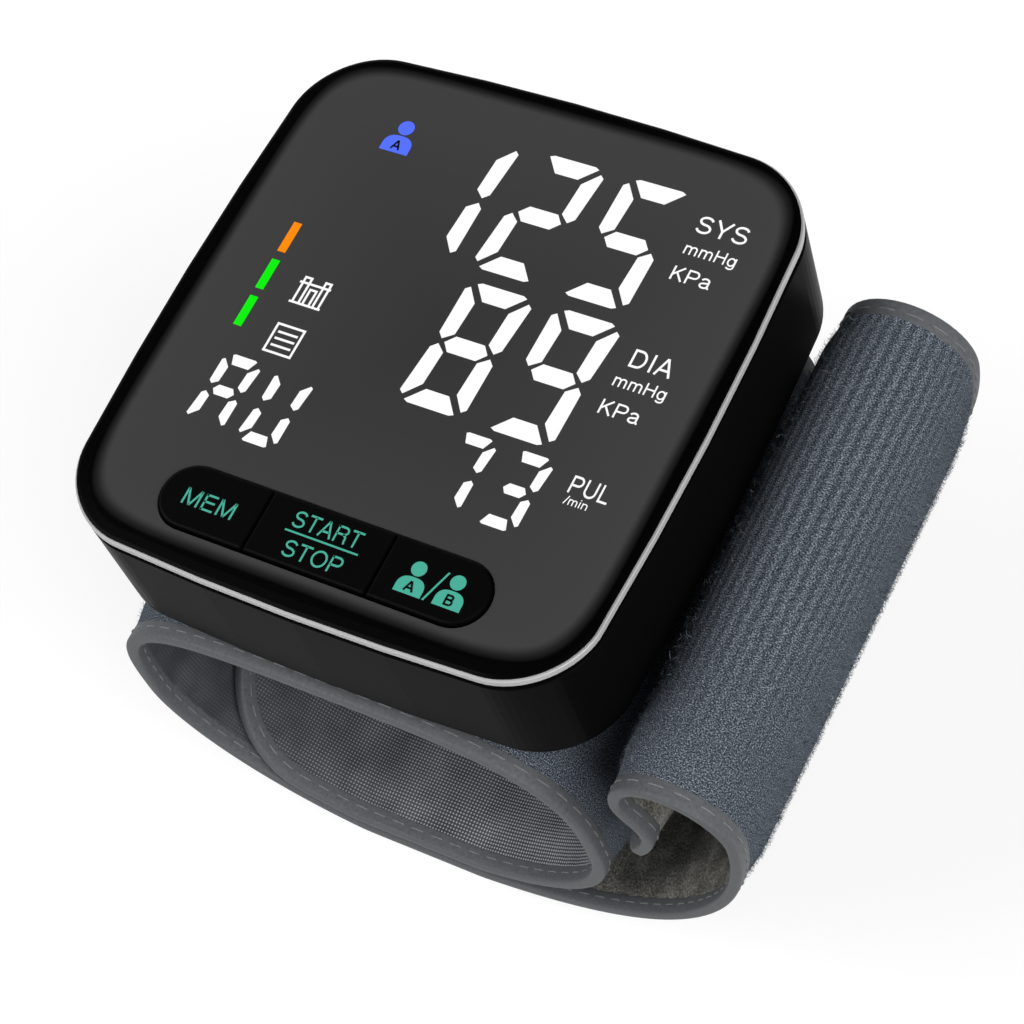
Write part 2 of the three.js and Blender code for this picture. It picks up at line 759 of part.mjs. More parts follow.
// Tape folded over both long edges and the free end, as one U-shaped body
function stripBinding(end, thickness) {
  const half = thickness / 2;
  const fold = half - binding_t;
  const profile = [
    [-binding_face, -half],
    [0, -half],
    [0, half],
    [-binding_face, half],
    [-binding_face, fold],
    [-binding_web, fold],
    [-binding_web, -fold],
    [-binding_face, -fold],
  ];
  const sections = edgeRoute(end).map(({ s, across, along, aside }) => profile.map(
    ([depth, off]) => stripPoint(s + depth * along, across + depth * aside, off),
  ));
  return sweep(sections, profile.map(([x, y]) => new THREE.Vector2(x, y)));
}

// Edge of the strip from the fold, round the free end and back to the fold, with its outward direction
function edgeRoute({ fold_s, end_s, corner }) {
  const forward = Math.sign(end_s - fold_s);
  const turn_s = end_s - forward * corner;
  const turn_across = cuff_half_w - corner;
  const count = Math.ceil(Math.abs(turn_s - fold_s) / strip_step);
  const near = [];
  for (let i = 0; i < count; i += 1) {
    const s = THREE.MathUtils.lerp(fold_s, turn_s, i / count);
    near.push({ s, across: -cuff_half_w, along: 0, aside: -1 });
  }
  for (let i = 0; i <= corner_facets; i += 1) {
    const angle = (i / corner_facets) * Math.PI / 2;
    const along = forward * Math.sin(angle);
    const aside = -Math.cos(angle);
    near.push({ s: turn_s + corner * along, across: -turn_across + corner * aside, along, aside });
  }
  const far = near.map((e) => ({ ...e, across: -e.across, aside: -e.aside })).reverse();
  return [...near, ...far];
}

// The strip is parted at the left fold, where the closing strap swings
const fold_back = (Math.max(cuff_t, strap_t) / 2) * Math.tan((fold_angle_deg / 2) * deg) + slide_gap;
const cuff_end = { fold_s: path.fold - fold_back, end_s: 0, corner: tail_corner_r };
const strap_end = { fold_s: path.fold + fold_back, end_s: path.length, corner: strap_corner_r };

function cuffCover() {
  const outer = cuff_t / 2;
  const layer = stripLayer(cuff_end, binding_face + layer_gap, outer - cover_t, outer);
  return cut(layer, nozzleHole(loop_z, case_foot_z));
}

function cuffStiffener() {
  const outer = cuff_t / 2 - cover_t - layer_gap;
  const layer = stripLayer(cuff_end, binding_face + stiffener_margin, outer - stiffener_t, outer);
  return cut(layer, nozzleHole(loop_z, case_foot_z));
}

function cuffBladder() {
  const outer = cuff_t / 2 - cover_t - stiffener_t - 2 * layer_gap;
  return stripLayer(cuff_end, binding_face + bladder_margin, outer - bladder_t, outer);
}

function cuffLining() {
  const inner = binding_t + layer_gap - cuff_t / 2;
  return stripLayer(cuff_end, inner_edge, inner, inner + lining_t - layer_gap);
}

function strapCover() {
  const outer = strap_t / 2;
  return stripLayer(strap_end, binding_face + layer_gap, outer - strap_cover_t, outer);
}

function strapLining() {
  const inner = binding_t + layer_gap - strap_t / 2;
  return stripLayer(strap_end, inner_edge, inner, inner + strap_lining_t - layer_gap);
}

// Finishes
function finish(color, roughness, metalness = 0) {
  return new THREE.MeshStandardMaterial({ color, roughness, metalness });
}

const gloss_black = finish(0x0c0c0d, 0.12);
const case_black = finish(0x131314, 0.3);
const key_black = finish(0x161616, 0.45);
const satin_silver = finish(0xb4b4b4, 0.3, 1);
const inner_plastic = finish(0x2a2a2c, 0.6);
const board_green = finish(0x1f5a38, 0.5);
const steel = finish(0xb9bcc0, 0.35, 1);
const cell_wrap = finish(0x8a8d92, 0.4);
const silicone = finish(0xc9c6bd, 0.6);
const cover_cloth = finish(0x4a5460, 0.95);
const lining_cloth = finish(0x3b3f44, 0.9);
const hook_cloth = finish(0x4a4842, 0.95);
const binding_tape = finish(0x5a5d60, 0.85);
const film = finish(0x50545a, 0.5);

const monitor = new THREE.Group();

function add(name, geometry, material) {
  const mesh = new THREE.Mesh(geometry, material);
  mesh.name = name;
  monitor.add(mesh);
}

add('front_lens', frontLens(), gloss_black);
add('trim_ring', trimRing(), satin_silver);
add('front_rim', frontRim(), inner_plastic);
add('rear_case', rearCase(), case_black);
add('battery_door', batteryDoor(), case_black);
screwPlaces().forEach(([x, y], i) => add(`case_screw_${i + 1}`, caseScrew(x, y), steel));

const key_ends = [
  ['mem', -pill_half_x, mem_split_x - slide_gap / 2],
  ['start_stop', mem_split_x + slide_gap / 2, user_split_x - slide_gap / 2],
  ['user', user_split_x + slide_gap / 2, pill_half_x],
];
for (const [name, from_x, to_x] of key_ends) {
  add(`${name}_key`, pressKey(from_x, to_x), key_black);
  add(`${name}_switch`, tactSwitch(keyCentre(from_x, to_x)), inner_plastic);
}

add('display_module', displayModule(), gloss_black);
add('main_board', mainBoard(), board_green);
add('pressure_sensor', pressureSensor(), inner_plastic);
cellCentres().forEach((x, i) => {
  const facing = i === 0 ? 1 : -1;
  add(`battery_${i + 1}`, batteryCell(x, facing), cell_wrap);
  add(`battery_spring_${i + 1}`, batterySpring(x, -facing), steel);
});
add('front_contact', contactPlate(-1), steel);
add('rear_contact', contactPlate(1), steel);
add('pump_motor', pumpMotor(), steel);
add('pump_head', pumpHead(), inner_plastic);
add('air_tee', airTee(), inner_plastic);
add('pump_tube', pumpTube(), silicone);
add('valve_tube', valveTube(), silicone);
add('exhaust_valve', exhaustValve(), steel);
add('cuff_nozzle', cuffNozzle(), inner_plastic);
add('cuff_mount_plate', cuffMountPlate(), inner_plastic);
add('cuff_cover', cuffCover(), cover_cloth);
add('cuff_stiffener', cuffStiffener(), film);
add('cuff_bladder', cuffBladder(), film);
add('cuff_lining', cuffLining(), lining_cloth);
add('cuff_binding', stripBinding(cuff_end, cuff_t), binding_tape);
add('strap_cover', strapCover(), cover_cloth);
add('strap_lining', strapLining(), hook_cloth);
add('strap_binding', stripBinding(strap_end, strap_t), binding_tape);

export default monitor;
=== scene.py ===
"""Wrist blood pressure monitor: fabric cuff, front graphics and finishes around the CAD part."""

import json
import math

import bmesh
import bpy
import numpy as np
from mathutils import Matrix, Vector


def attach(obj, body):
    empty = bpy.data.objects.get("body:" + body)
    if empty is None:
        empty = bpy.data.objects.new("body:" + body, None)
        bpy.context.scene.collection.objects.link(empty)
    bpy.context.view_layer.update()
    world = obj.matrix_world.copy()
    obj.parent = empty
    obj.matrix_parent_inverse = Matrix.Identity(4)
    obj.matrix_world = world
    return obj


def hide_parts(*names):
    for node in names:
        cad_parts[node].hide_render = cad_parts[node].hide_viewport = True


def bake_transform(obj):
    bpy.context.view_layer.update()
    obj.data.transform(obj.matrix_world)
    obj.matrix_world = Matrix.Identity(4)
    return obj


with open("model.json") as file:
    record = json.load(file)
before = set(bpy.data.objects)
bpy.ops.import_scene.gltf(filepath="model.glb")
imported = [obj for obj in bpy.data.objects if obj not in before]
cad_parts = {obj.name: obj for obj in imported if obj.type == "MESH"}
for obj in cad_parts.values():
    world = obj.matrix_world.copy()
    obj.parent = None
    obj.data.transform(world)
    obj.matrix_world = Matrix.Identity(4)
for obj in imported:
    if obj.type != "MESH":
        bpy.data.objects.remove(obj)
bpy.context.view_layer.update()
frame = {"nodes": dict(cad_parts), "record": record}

MM = 0.001

# Cuff strip, in millimetres, on the same line as the CAD strip
WRIST_W = 59.0
WRIST_H = 41.4
TOP_POWER = 3.4
LOW_POWER = 1.95
FLAT_CUT = 1.0
LOOP_X = -1.35
CUFF_Y = -3.6
HALF_W = 33.8
LAP_GAP = 0.3
CUFF_T = 2.95
STRAP_T = 2.35
TAIL_ANGLE = math.radians(-164)
LEAVE_ANGLE = math.radians(288.3)
TAIL_CORNER = 18.0
STRAP_CORNER = 4.5
CASE_RIGHT = 35.0
ROLL_GAP = 0.8
ROLL_W = 16.65
RISE_START = 1.85
RISE_END = 0.37
LOOP_FLOOR = STRAP_T + LAP_GAP + CUFF_T
LOOP_Z = LOOP_FLOOR + WRIST_H / 2
ROLL_SHOULDER = LOOP_Z + 22.2
ROLL_TOP = LOOP_Z + 31.6
TIP_Z = LOOP_Z + 6.4
TIP_SHIFT = -1.9
ROLL_FLARE = 0.1
HANG_LEAN = 6.8
HANG_START = 0.28
HANG_END = 0.68

# Binding tape and its stitches; the sewn edge is pressed thinner than the padded cloth
TAPE_FACE = 2.6
TAPE_ROUND = 0.65
EDGE_SHARE = 0.62
EDGE_SLOPE = 4.5
STITCH_PITCH = 2.9
STITCH_LEN = 2.3
STITCH_R = 0.09
STITCH_IN = 1.5
STITCH_PULL = 0.06
PUCKER = 0.05
PANEL_INSET = TAPE_FACE - 0.25
PANEL_T = 0.5

# Where the strip is parted for the swinging strap, and where its inner face turns to hook felt
FOLD_REACH = 6.0
FELT_FROM = 46.0

# The cuff thins down to the strap within this reach of the fold, and the roll starts this far past it
THIN_REACH = 10.0
ROLL_FROM = 85.0

# Front face: the flat top of the lens and of the keys, and the middle, half sizes and squareness of the
# smoked field inside the black border, whose grey is partly the lens's own tone and partly painted reflection
LENS_Z = 70.35
KEY_Z = 70.85
PRINT_LIFT = 0.03
FIELD_X = 0.43
FIELD_Y = 0.5
FIELD_HALF_X = 33.0
FIELD_HALF_Y = 34.5
FIELD_POWER = 7.5

# Cloth patterns: real pitches, but the pile and the weave of lining and tape are drawn coarser, to show.
# A wave texture of scale 1 repeats every WAVE_TURN.
WAVE_TURN = math.pi / 10
RIB_PITCH = 1.2
COURSE_PITCH = 0.8
THREAD_PITCH = 0.45
PILE_GRAIN = 0.17

# The ribs start to show at one distance before the strap's end, and stand out from the other on.
# From the front edge of the strip, they are brushed flat up to RIBS_FRONT and stand out from RIBS_BACK on.
RIBS_START = 46.0
RIBS_FULL = 32.0
RIBS_FRONT = 4.0
RIBS_BACK = 26.0

# Loose fibres of the brushed face: drawn thicker and fewer than real ones, so that they show. They start at
# a length from the tail, stop short of the strap's end, and stay clear of the table.
FIBRE_R = 0.028
FIBRE_REACH = (0.22, 0.62)
FIBRES_FROM = 20.0
FIBRES_SHORT = 8.0
FIBRE_CLEAR = 0.1
CUFF_FIBRES = 9000
STRAP_FIBRES = 40000

# White card just under the object: its own tone and its glow together make white. The walls round it are
# white where they are seen, and light the object at a lower level.
CARD_DROP = 0.4
CARD_TONE = "#919191"
CARD_GLOW = 0.765
SKY_LEVEL = 0.45

# Camera fitted to the photo: place in metres, turn as an axis times its angle, lens on a 36 mm sensor
CAMERA_PLACE = (0.138931, -0.125536, 0.328536)
CAMERA_TURN = (2.59485598, 0.5458504, -0.44880773)
CAMERA_LENS = 97.43


# Materials

def linear(code):
    """sRGB hex to linear colour with alpha."""
    parts = [int(code[i:i + 2], 16) / 255 for i in (1, 3, 5)]
    return [c / 12.92 if c <= 0.04045 else ((c + 0.055) / 1.055) ** 2.4 for c in parts] + [1.0]


def put(tree, kind, inputs=None, stops=(), **settings):
    """Adds one node. Sockets among its inputs are linked, hex codes become colours, the rest is set."""
    node = tree.nodes.new(kind)
    for key, value in settings.items():
        setattr(node, key, value)
    for i, (place, code) in enumerate(stops):
        stop = node.color_ramp.elements[i] if i < 2 else node.color_ramp.elements.new(place)
        stop.position, stop.color = place, linear(code)
    for socket, value in (inputs or {}).items():
        if isinstance(value, bpy.types.NodeSocket):
            tree.links.new(value, node.inputs[socket])
        else:
            node.inputs[socket].default_value = linear(value) if isinstance(value, str) else value
    return node


def material(name):
    """Empty material and its node tree."""
    mat = bpy.data.materials.new(name)
    mat.use_nodes = True
    mat.node_tree.nodes.clear()
    return mat, mat.node_tree


def moulded_plastic(name, code, rough, gloss, grit_mm=0.4):
    """Moulded ABS: even colour, with spark-eroded grit that softens the reflection."""
    mat, tree = material(name)
    place = put(tree, "ShaderNodeTexCoord")
    grit = put(tree, "ShaderNodeTexNoise", {"Vector": place.outputs["Object"], "Scale": 1 / (grit_mm * MM)})
    dull = put(tree, "ShaderNodeMapRange", {
        "Value": grit.outputs["Fac"], "To Min": 0.9 * rough, "To Max": 1.1 * rough})
    rise = put(tree, "ShaderNodeBump", {"Height": grit.outputs["Fac"], "Distance": 0.004 * MM})
    shader = put(tree, "ShaderNodeBsdfPrincipled", {
        "Base Color": code, "Specular IOR Level": gloss, "IOR": 1.53,
        "Roughness": dull.outputs["Result"], "Normal": rise.outputs["Normal"]})
    put(tree, "ShaderNodeOutputMaterial", {"Surface": shader.outputs["BSDF"]})
    return mat


def polished_lens():
    """Acrylic printed from behind: a smoked grey field that fades softly into a deep black border. The grey
    is partly the lens's own smoked tone and partly a painted reflection of the bright studio, and it lightens
    just inside the border as a painted rim highlight.
    """
    mat, tree = material("polished_acrylic_lens")
    place = put(tree, "ShaderNodeTexCoord")
    spot = put(tree, "ShaderNodeSeparateXYZ", {"Vector": place.outputs["Object"]})
    shares = []
    for axis, middle, half in (("X", FIELD_X, FIELD_HALF_X), ("Y", FIELD_Y, FIELD_HALF_Y)):
        off = put(tree, "ShaderNodeMath", {0: spot.outputs[axis], 1: middle * MM}, operation="SUBTRACT")
        size = put(tree, "ShaderNodeMath", {0: off.outputs[0]}, operation="ABSOLUTE")
        share = put(tree, "ShaderNodeMath", {0: size.outputs[0], 1: half * MM}, operation="DIVIDE")
        shares.append(put(tree, "ShaderNodeMath", {0: share.outputs[0], 1: FIELD_POWER}, operation="POWER"))
    total = put(tree, "ShaderNodeMath", {0: shares[0].outputs[0], 1: shares[1].outputs[0]}, operation="ADD")
    edge = put(tree, "ShaderNodeMath", {0: total.outputs[0], 1: 1 / FIELD_POWER}, operation="POWER")
    # Painted reflection and highlight: the field's grey is partly the smoked tone and partly painted
    # reflection, lighter towards the border as a painted rim highlight, before it falls to the black edge
    smoke_and_painted_reflection = put(tree, "ShaderNodeValToRGB", {"Fac": edge.outputs[0]}, stops=(
        (0.0, "#363636"), (0.955, "#414141"), (0.98, "#222222"), (1.0, "#030303")))
    shader = put(tree, "ShaderNodeBsdfPrincipled", {
        "Base Color": smoke_and_painted_reflection.outputs["Color"], "Specular IOR Level": 0.03, "IOR": 1.49, "Roughness": 0.3})
    put(tree, "ShaderNodeOutputMaterial", {"Surface": shader.outputs["BSDF"]})
    return mat


def satin_metal(name, code, rough):
    """Nickel-plated steel: an even bright reflection, broken by fine rub marks."""
    mat, tree = material(name)
    place = put(tree, "ShaderNodeTexCoord")
    rub = put(tree, "ShaderNodeTexNoise", {"Vector": place.outputs["Object"], "Scale": 1 / (0.5 * MM)})
    dull = put(tree, "ShaderNodeMapRange", {
        "Value": rub.outputs["Fac"], "To Min": 0.85 * rough, "To Max": 1.2 * rough})
    shader = put(tree, "ShaderNodeBsdfPrincipled", {
        "Base Color": code, "Metallic": 1.0, "Roughness": dull.outputs["Result"]})
    put(tree, "ShaderNodeOutputMaterial", {"Surface": shader.outputs["BSDF"]})
    return mat


def lit_segment(name, code):
    """Back-lit display segment: one even glow, the same from every side."""
    mat, tree = material(name)
    shader = put(tree, "ShaderNodeBsdfPrincipled", {
        "Base Color": "#0a0a0a", "Roughness": 0.4, "Specular IOR Level": 0.1,
        "Emission Color": code, "Emission Strength": 1.0})
    put(tree, "ShaderNodeOutputMaterial", {"Surface": shader.outputs["BSDF"]})
    return mat


def screen_ink(name, code):
    """Screen-printed ink: flat and matt, with the faint mottle of the mesh."""
    mat, tree = material(name)
    place = put(tree, "ShaderNodeTexCoord")
    mesh = put(tree, "ShaderNodeTexNoise", {"Vector": place.outputs["Object"], "Scale": 1 / (0.3 * MM)})
    dull = put(tree, "ShaderNodeMapRange", {"Value": mesh.outputs["Fac"], "To Min": 0.45, "To Max": 0.65})
    shader = put(tree, "ShaderNodeBsdfPrincipled", {
        "Base Color": code, "Specular IOR Level": 0.1, "Roughness": dull.outputs["Result"]})
    put(tree, "ShaderNodeOutputMaterial", {"Surface": shader.outputs["BSDF"]})
    return mat


def loop_fabric():
    """Brushed nylon loop: blue-grey pile over knitted ribs, dull, speckled by single fibres."""
    mat, tree = material("brushed_loop_fabric")
    cloth = put(tree, "ShaderNodeUVMap", uv_map="cloth").outputs["UV"]
    ribs = put(tree, "ShaderNodeTexWave", {
        "Vector": cloth, "Scale": WAVE_TURN / (RIB_PITCH * MM), "Distortion": 1.2, "Detail": 3.0,
        "Detail Scale": 1.6}, bands_direction="X")
    courses = put(tree, "ShaderNodeTexWave", {
        "Vector": cloth, "Scale": WAVE_TURN / (COURSE_PITCH * MM), "Distortion": 1.5, "Detail": 2.0,
        "Detail Scale": 2.0}, bands_direction="DIAGONAL")
    pile = put(tree, "ShaderNodeTexNoise", {
        "Vector": cloth, "Scale": 1 / (PILE_GRAIN * MM), "Detail": 3.0, "Roughness": 0.75})
    along = put(tree, "ShaderNodeSeparateXYZ", {"Vector": cloth})
    # The ribs stand out on the inner side of the roll, and are brushed flat elsewhere and at the front
    inner = put(tree, "ShaderNodeMapRange", {
        "Value": along.outputs["X"], "From Min": (END_S - RIBS_START) * MM,
        "From Max": (END_S - RIBS_FULL) * MM, "To Min": 0.01, "To Max": 0.058})
    back = put(tree, "ShaderNodeMapRange", {
        "Value": along.outputs["Y"], "From Min": (RIBS_FRONT - HALF_W) * MM,
        "From Max": (RIBS_BACK - HALF_W) * MM})
    shown = put(tree, "ShaderNodeMath", {0: inner.outputs["Result"], 1: back.outputs["Result"]},
                operation="MULTIPLY")
    knit = put(tree, "ShaderNodeMath", {0: courses.outputs["Fac"], 1: 0.25, 2: ribs.outputs["Fac"]},
               operation="MULTIPLY_ADD")
    swing = put(tree, "ShaderNodeMath", {0: knit.outputs[0], 1: 0.62}, operation="SUBTRACT")
    relief = put(tree, "ShaderNodeMath", {0: swing.outputs[0], 1: shown.outputs[0], 2: pile.outputs["Fac"]},
                 operation="MULTIPLY_ADD")
    tone = put(tree, "ShaderNodeValToRGB", {"Fac": relief.outputs[0]}, stops=(
        (0.41, "#22272d"), (0.53, "#5d6570"), (0.645, "#b9c2cd")))
    rise = put(tree, "ShaderNodeBump", {"Height": relief.outputs[0], "Distance": 0.35 * MM, "Strength": 0.8})
    shader = put(tree, "ShaderNodeBsdfPrincipled", {
        "Base Color": tone.outputs["Color"], "Normal": rise.outputs["Normal"], "Roughness": 0.95,
        "Specular IOR Level": 0.08, "Sheen Weight": 0.1, "Sheen Roughness": 0.6, "Sheen Tint": "#8d97a3"})
    put(tree, "ShaderNodeOutputMaterial", {"Surface": shader.outputs["BSDF"]})
    return mat


def woven_lining():
    """Plain-weave nylon: dark grey with a grid of lighter thread crossings, which stand out most over one
    stretch of the strip as a painted sheen where the lining faces the light.
    """
    mat, tree = material("woven_nylon_lining")
    cloth = put(tree, "ShaderNodeUVMap", uv_map="cloth").outputs["UV"]
    warp = put(tree, "ShaderNodeTexWave", {
        "Vector": cloth, "Scale": WAVE_TURN / (THREAD_PITCH * MM), "Distortion": 0.25}, bands_direction="X")
    weft = put(tree, "ShaderNodeTexWave", {
        "Vector": cloth, "Scale": WAVE_TURN / (THREAD_PITCH * MM), "Distortion": 0.25}, bands_direction="Y")
    worn = put(tree, "ShaderNodeTexNoise", {"Vector": cloth, "Scale": 1 / (6.0 * MM), "Detail": 4.0})
    crossing = put(tree, "ShaderNodeMath", {0: warp.outputs["Fac"], 1: weft.outputs["Fac"]},
                   operation="MULTIPLY")
    along = put(tree, "ShaderNodeSeparateXYZ", {"Vector": cloth})
    # Painted sheen: the thread crossings are strongest along one stretch of the strip, where the lining faces
    # the light, and fainter elsewhere
    spot = put(tree, "ShaderNodeMapRange", {"Value": along.outputs["X"], "From Max": 0.2})
    painted_sheen = put(tree, "ShaderNodeValToRGB", {"Fac": spot.outputs["Result"]}, stops=(
        (0.05, "#8c8c8c"), (0.34, "#ffffff"), (0.6, "#6a6a6a")))
    dots = put(tree, "ShaderNodeMath", {0: crossing.outputs[0], 1: painted_sheen.outputs["Color"]},
               operation="MULTIPLY")
    weave = put(tree, "ShaderNodeMath", {0: worn.outputs["Fac"], 1: 0.36, 2: dots.outputs[0]},
                operation="MULTIPLY_ADD")
    tone = put(tree, "ShaderNodeValToRGB", {"Fac": weave.outputs[0]}, stops=(
        (0.09, "#2c2e32"), (0.28, "#494b50"), (0.8, "#b2b5ba")))
    rise = put(tree, "ShaderNodeBump", {"Height": weave.outputs[0], "Distance": 0.06 * MM, "Strength": 0.4})
    shader = put(tree, "ShaderNodeBsdfPrincipled", {
        "Base Color": tone.outputs["Color"], "Normal": rise.outputs["Normal"], "Roughness": 0.65,
        "Specular IOR Level": 0.25})
    put(tree, "ShaderNodeOutputMaterial", {"Surface": shader.outputs["BSDF"]})
    return mat


def hook_felt():
    """Needled hook felt: brownish grey, grainy and dull."""
    mat, tree = material("needled_hook_felt")
    cloth = put(tree, "ShaderNodeUVMap", uv_map="cloth").outputs["UV"]
    fibre = put(tree, "ShaderNodeTexNoise", {
        "Vector": cloth, "Scale": 1 / (0.35 * MM), "Detail": 6.0, "Roughness": 0.7})
    patch = put(tree, "ShaderNodeTexNoise", {"Vector": cloth, "Scale": 1 / (3.5 * MM), "Detail": 3.0})
    felt = put(tree, "ShaderNodeMath", {0: patch.outputs["Fac"], 1: 0.4, 2: fibre.outputs["Fac"]},
               operation="MULTIPLY_ADD")
    tone = put(tree, "ShaderNodeValToRGB", {"Fac": felt.outputs[0]}, stops=(
        (0.52, "#3a3935"), (0.7, "#76756e"), (0.86, "#b8b6ae")))
    rise = put(tree, "ShaderNodeBump", {
        "Height": fibre.outputs["Fac"], "Distance": 0.4 * MM, "Strength": 0.8})
    shader = put(tree, "ShaderNodeBsdfPrincipled", {
        "Base Color": tone.outputs["Color"], "Normal": rise.outputs["Normal"], "Roughness": 1.0,
        "Specular IOR Level": 0.05, "Sheen Weight": 0.1})
    put(tree, "ShaderNodeOutputMaterial", {"Surface": shader.outputs["BSDF"]})
    return mat


def binding_tape():
    """Woven polyester tape: plain mid grey, so close-woven that only a fine mottle shows."""
    mat, tree = material("woven_binding_tape")
    cloth = put(tree, "ShaderNodeUVMap", uv_map="cloth").outputs["UV"]
    weave = put(tree, "ShaderNodeTexNoise", {"Vector": cloth, "Scale": 1 / (0.5 * MM), "Detail": 4.0})
    tone = put(tree, "ShaderNodeValToRGB", {"Fac": weave.outputs["Fac"]}, stops=(
        (0.3, "#525457"), (0.7, "#626467")))
    rise = put(tree, "ShaderNodeBump", {
        "Height": weave.outputs["Fac"], "Distance": 0.05 * MM, "Strength": 0.4})
    shader = put(tree, "ShaderNodeBsdfPrincipled", {
        "Base Color": tone.outputs["Color"], "Normal": rise.outputs["Normal"], "Roughness": 0.6,
        "Specular IOR Level": 0.3})
    put(tree, "ShaderNodeOutputMaterial", {"Surface": shader.outputs["BSDF"]})
    return mat


def sewing_thread():
    """Twisted polyester thread: pale grey with the faint spiral of its plies."""
    mat, tree = material("twisted_sewing_thread")
    place = put(tree, "ShaderNodeTexCoord")
    twist = put(tree, "ShaderNodeTexNoise", {"Vector": place.outputs["Object"], "Scale": 1 / (0.25 * MM)})
    tone = put(tree, "ShaderNodeValToRGB", {"Fac": twist.outputs["Fac"]}, stops=(
        (0.3, "#6e7174"), (0.75, "#8b8e90")))
    shader = put(tree, "ShaderNodeBsdfPrincipled", {
        "Base Color": tone.outputs["Color"], "Roughness": 0.6, "Specular IOR Level": 0.3})
    put(tree, "ShaderNodeOutputMaterial", {"Surface": shader.outputs["BSDF"]})
    return mat


def seen_share(tree):
    """1 for a ray that sees the stage straight, in a reflection or through glass, and 0 for any other."""
    path = put(tree, "ShaderNodeLightPath")
    seen = put(tree, "ShaderNodeMath", {0: path.outputs["Is Camera Ray"], 1: path.outputs["Is Glossy Ray"]},
               operation="ADD")
    return put(tree, "ShaderNodeMath", {0: seen.outputs[0], 1: path.outputs["Is Transmission Ray"]},
               operation="ADD").outputs[0]


def white_card():
    """Matt white card. Seen straight or in a reflection it glows, which keeps its shadows pale."""
    mat, tree = material("matt_white_card")
    glow = put(tree, "ShaderNodeMath", {0: seen_share(tree), 1: CARD_GLOW}, operation="MULTIPLY")
    shader = put(tree, "ShaderNodeBsdfPrincipled", {
        "Base Color": CARD_TONE, "Roughness": 1.0, "Specular IOR Level": 0.0,
        "Emission Color": "#ffffff", "Emission Strength": glow.outputs[0]})
    put(tree, "ShaderNodeOutputMaterial", {"Surface": shader.outputs["BSDF"]})
    return mat


# Strip geometry

def smooth_step(x):
    """Eases from 0 to 1."""
    x = np.clip(x, 0, 1)
    return x * x * (3 - 2 * x)


def oval(angle):
    """Inner face of the wrist loop: rounder below than above, and flat where it rests."""
    c, s = np.cos(angle), np.sin(angle)
    power = 2 / np.where(s > 0, TOP_POWER, LOW_POWER)
    rise = np.where(s > 0, WRIST_H / 2, WRIST_H / 2 + FLAT_CUT)
    x = LOOP_X + WRIST_W / 2 * np.sign(c) * np.abs(c) ** power
    z = LOOP_Z + rise * np.sign(s) * np.abs(s) ** power
    return np.stack([x, np.maximum(z, LOOP_FLOOR)], -1)


def right_of(before, after):
    """Unit normals to the right of the way from one set of points to the next."""
    along = after - before
    along = along / np.linalg.norm(along, axis=-1, keepdims=True)
    return np.stack([along[..., 1], -along[..., 0]], -1)


def bezier(points, count=80):
    """Points of a cubic curve, without its first."""
    t = np.linspace(0, 1, count + 1)[1:, None]
    a, b, c, d = (np.array(p, float) for p in points)
    return (1 - t) ** 3 * a + 3 * (1 - t) ** 2 * t * b + 3 * (1 - t) * t * t * c + t ** 3 * d


def strip_line():
    """Middle line of the strip: points, lengths, normals, and the length at the left fold."""
    steps = 361
    angle = np.linspace(TAIL_ANGLE, LEAVE_ANGLE, steps)
    small = math.radians(1)
    normal = right_of(oval(angle - small), oval(angle + small))
    share = smooth_step((angle - math.pi / 2) / (TAIL_ANGLE + 1.5 * math.pi))
    lap_step = CUFF_T / 2 + LAP_GAP + STRAP_T / 2
    lap = oval(angle) + normal * (CUFF_T / 2 + share * lap_step)[:, None]
    start = lap[-1]
    direction = (lap[-1] - lap[-2]) / np.linalg.norm(lap[-1] - lap[-2])
    left_x = CASE_RIGHT + ROLL_GAP + STRAP_T / 2
    half = (ROLL_W - STRAP_T) / 2
    right = np.array([left_x + 2 * half, ROLL_SHOULDER])
    reach = np.linalg.norm(right - start) / 3
    rise = bezier([start, start + direction * RISE_START * reach, right - [0, RISE_END * reach], right])
    turn = np.linspace(0, math.pi, 81)[1:]
    top = ROLL_TOP - STRAP_T / 2 - ROLL_SHOULDER
    over = np.stack([left_x + half + half * np.cos(turn), ROLL_SHOULDER + top * np.sin(turn)], -1)
    left = np.array([left_x, ROLL_SHOULDER])
    tip = np.array([left_x + TIP_SHIFT, TIP_Z])
    drop = left[1] - tip[1]
    lean = np.array([left_x + HANG_LEAN, TIP_Z + HANG_END * drop])
    hang = bezier([left, left - [0, HANG_START * drop], lean, tip])
    points = np.concatenate([lap, rise, over, hang])
    lengths = np.concatenate([[0], np.cumsum(np.linalg.norm(np.diff(points, axis=0), axis=1))])
    low = np.clip(np.arange(len(points)) - 2, 0, None)
    high = np.clip(np.arange(len(points)) + 2, None, len(points) - 1)
    normals = right_of(points[low], points[high])
    fold = next(i for i in range(steps // 2 + 1, len(points)) if points[i, 0] > points[i - 1, 0])
    return points, lengths, normals, lengths[fold]


LINE, LENGTHS, NORMALS, FOLD_S = strip_line()
END_S = LENGTHS[-1]
ROLL_X = CASE_RIGHT + ROLL_GAP + ROLL_W / 2
ROLL_S = FOLD_S + ROLL_FROM


def thickness(s):
    """The body is thicker than the strap; they meet smoothly round the fold."""
    return CUFF_T + (STRAP_T - CUFF_T) * smooth_step((s - (FOLD_S - THIN_REACH)) / (2 * THIN_REACH))


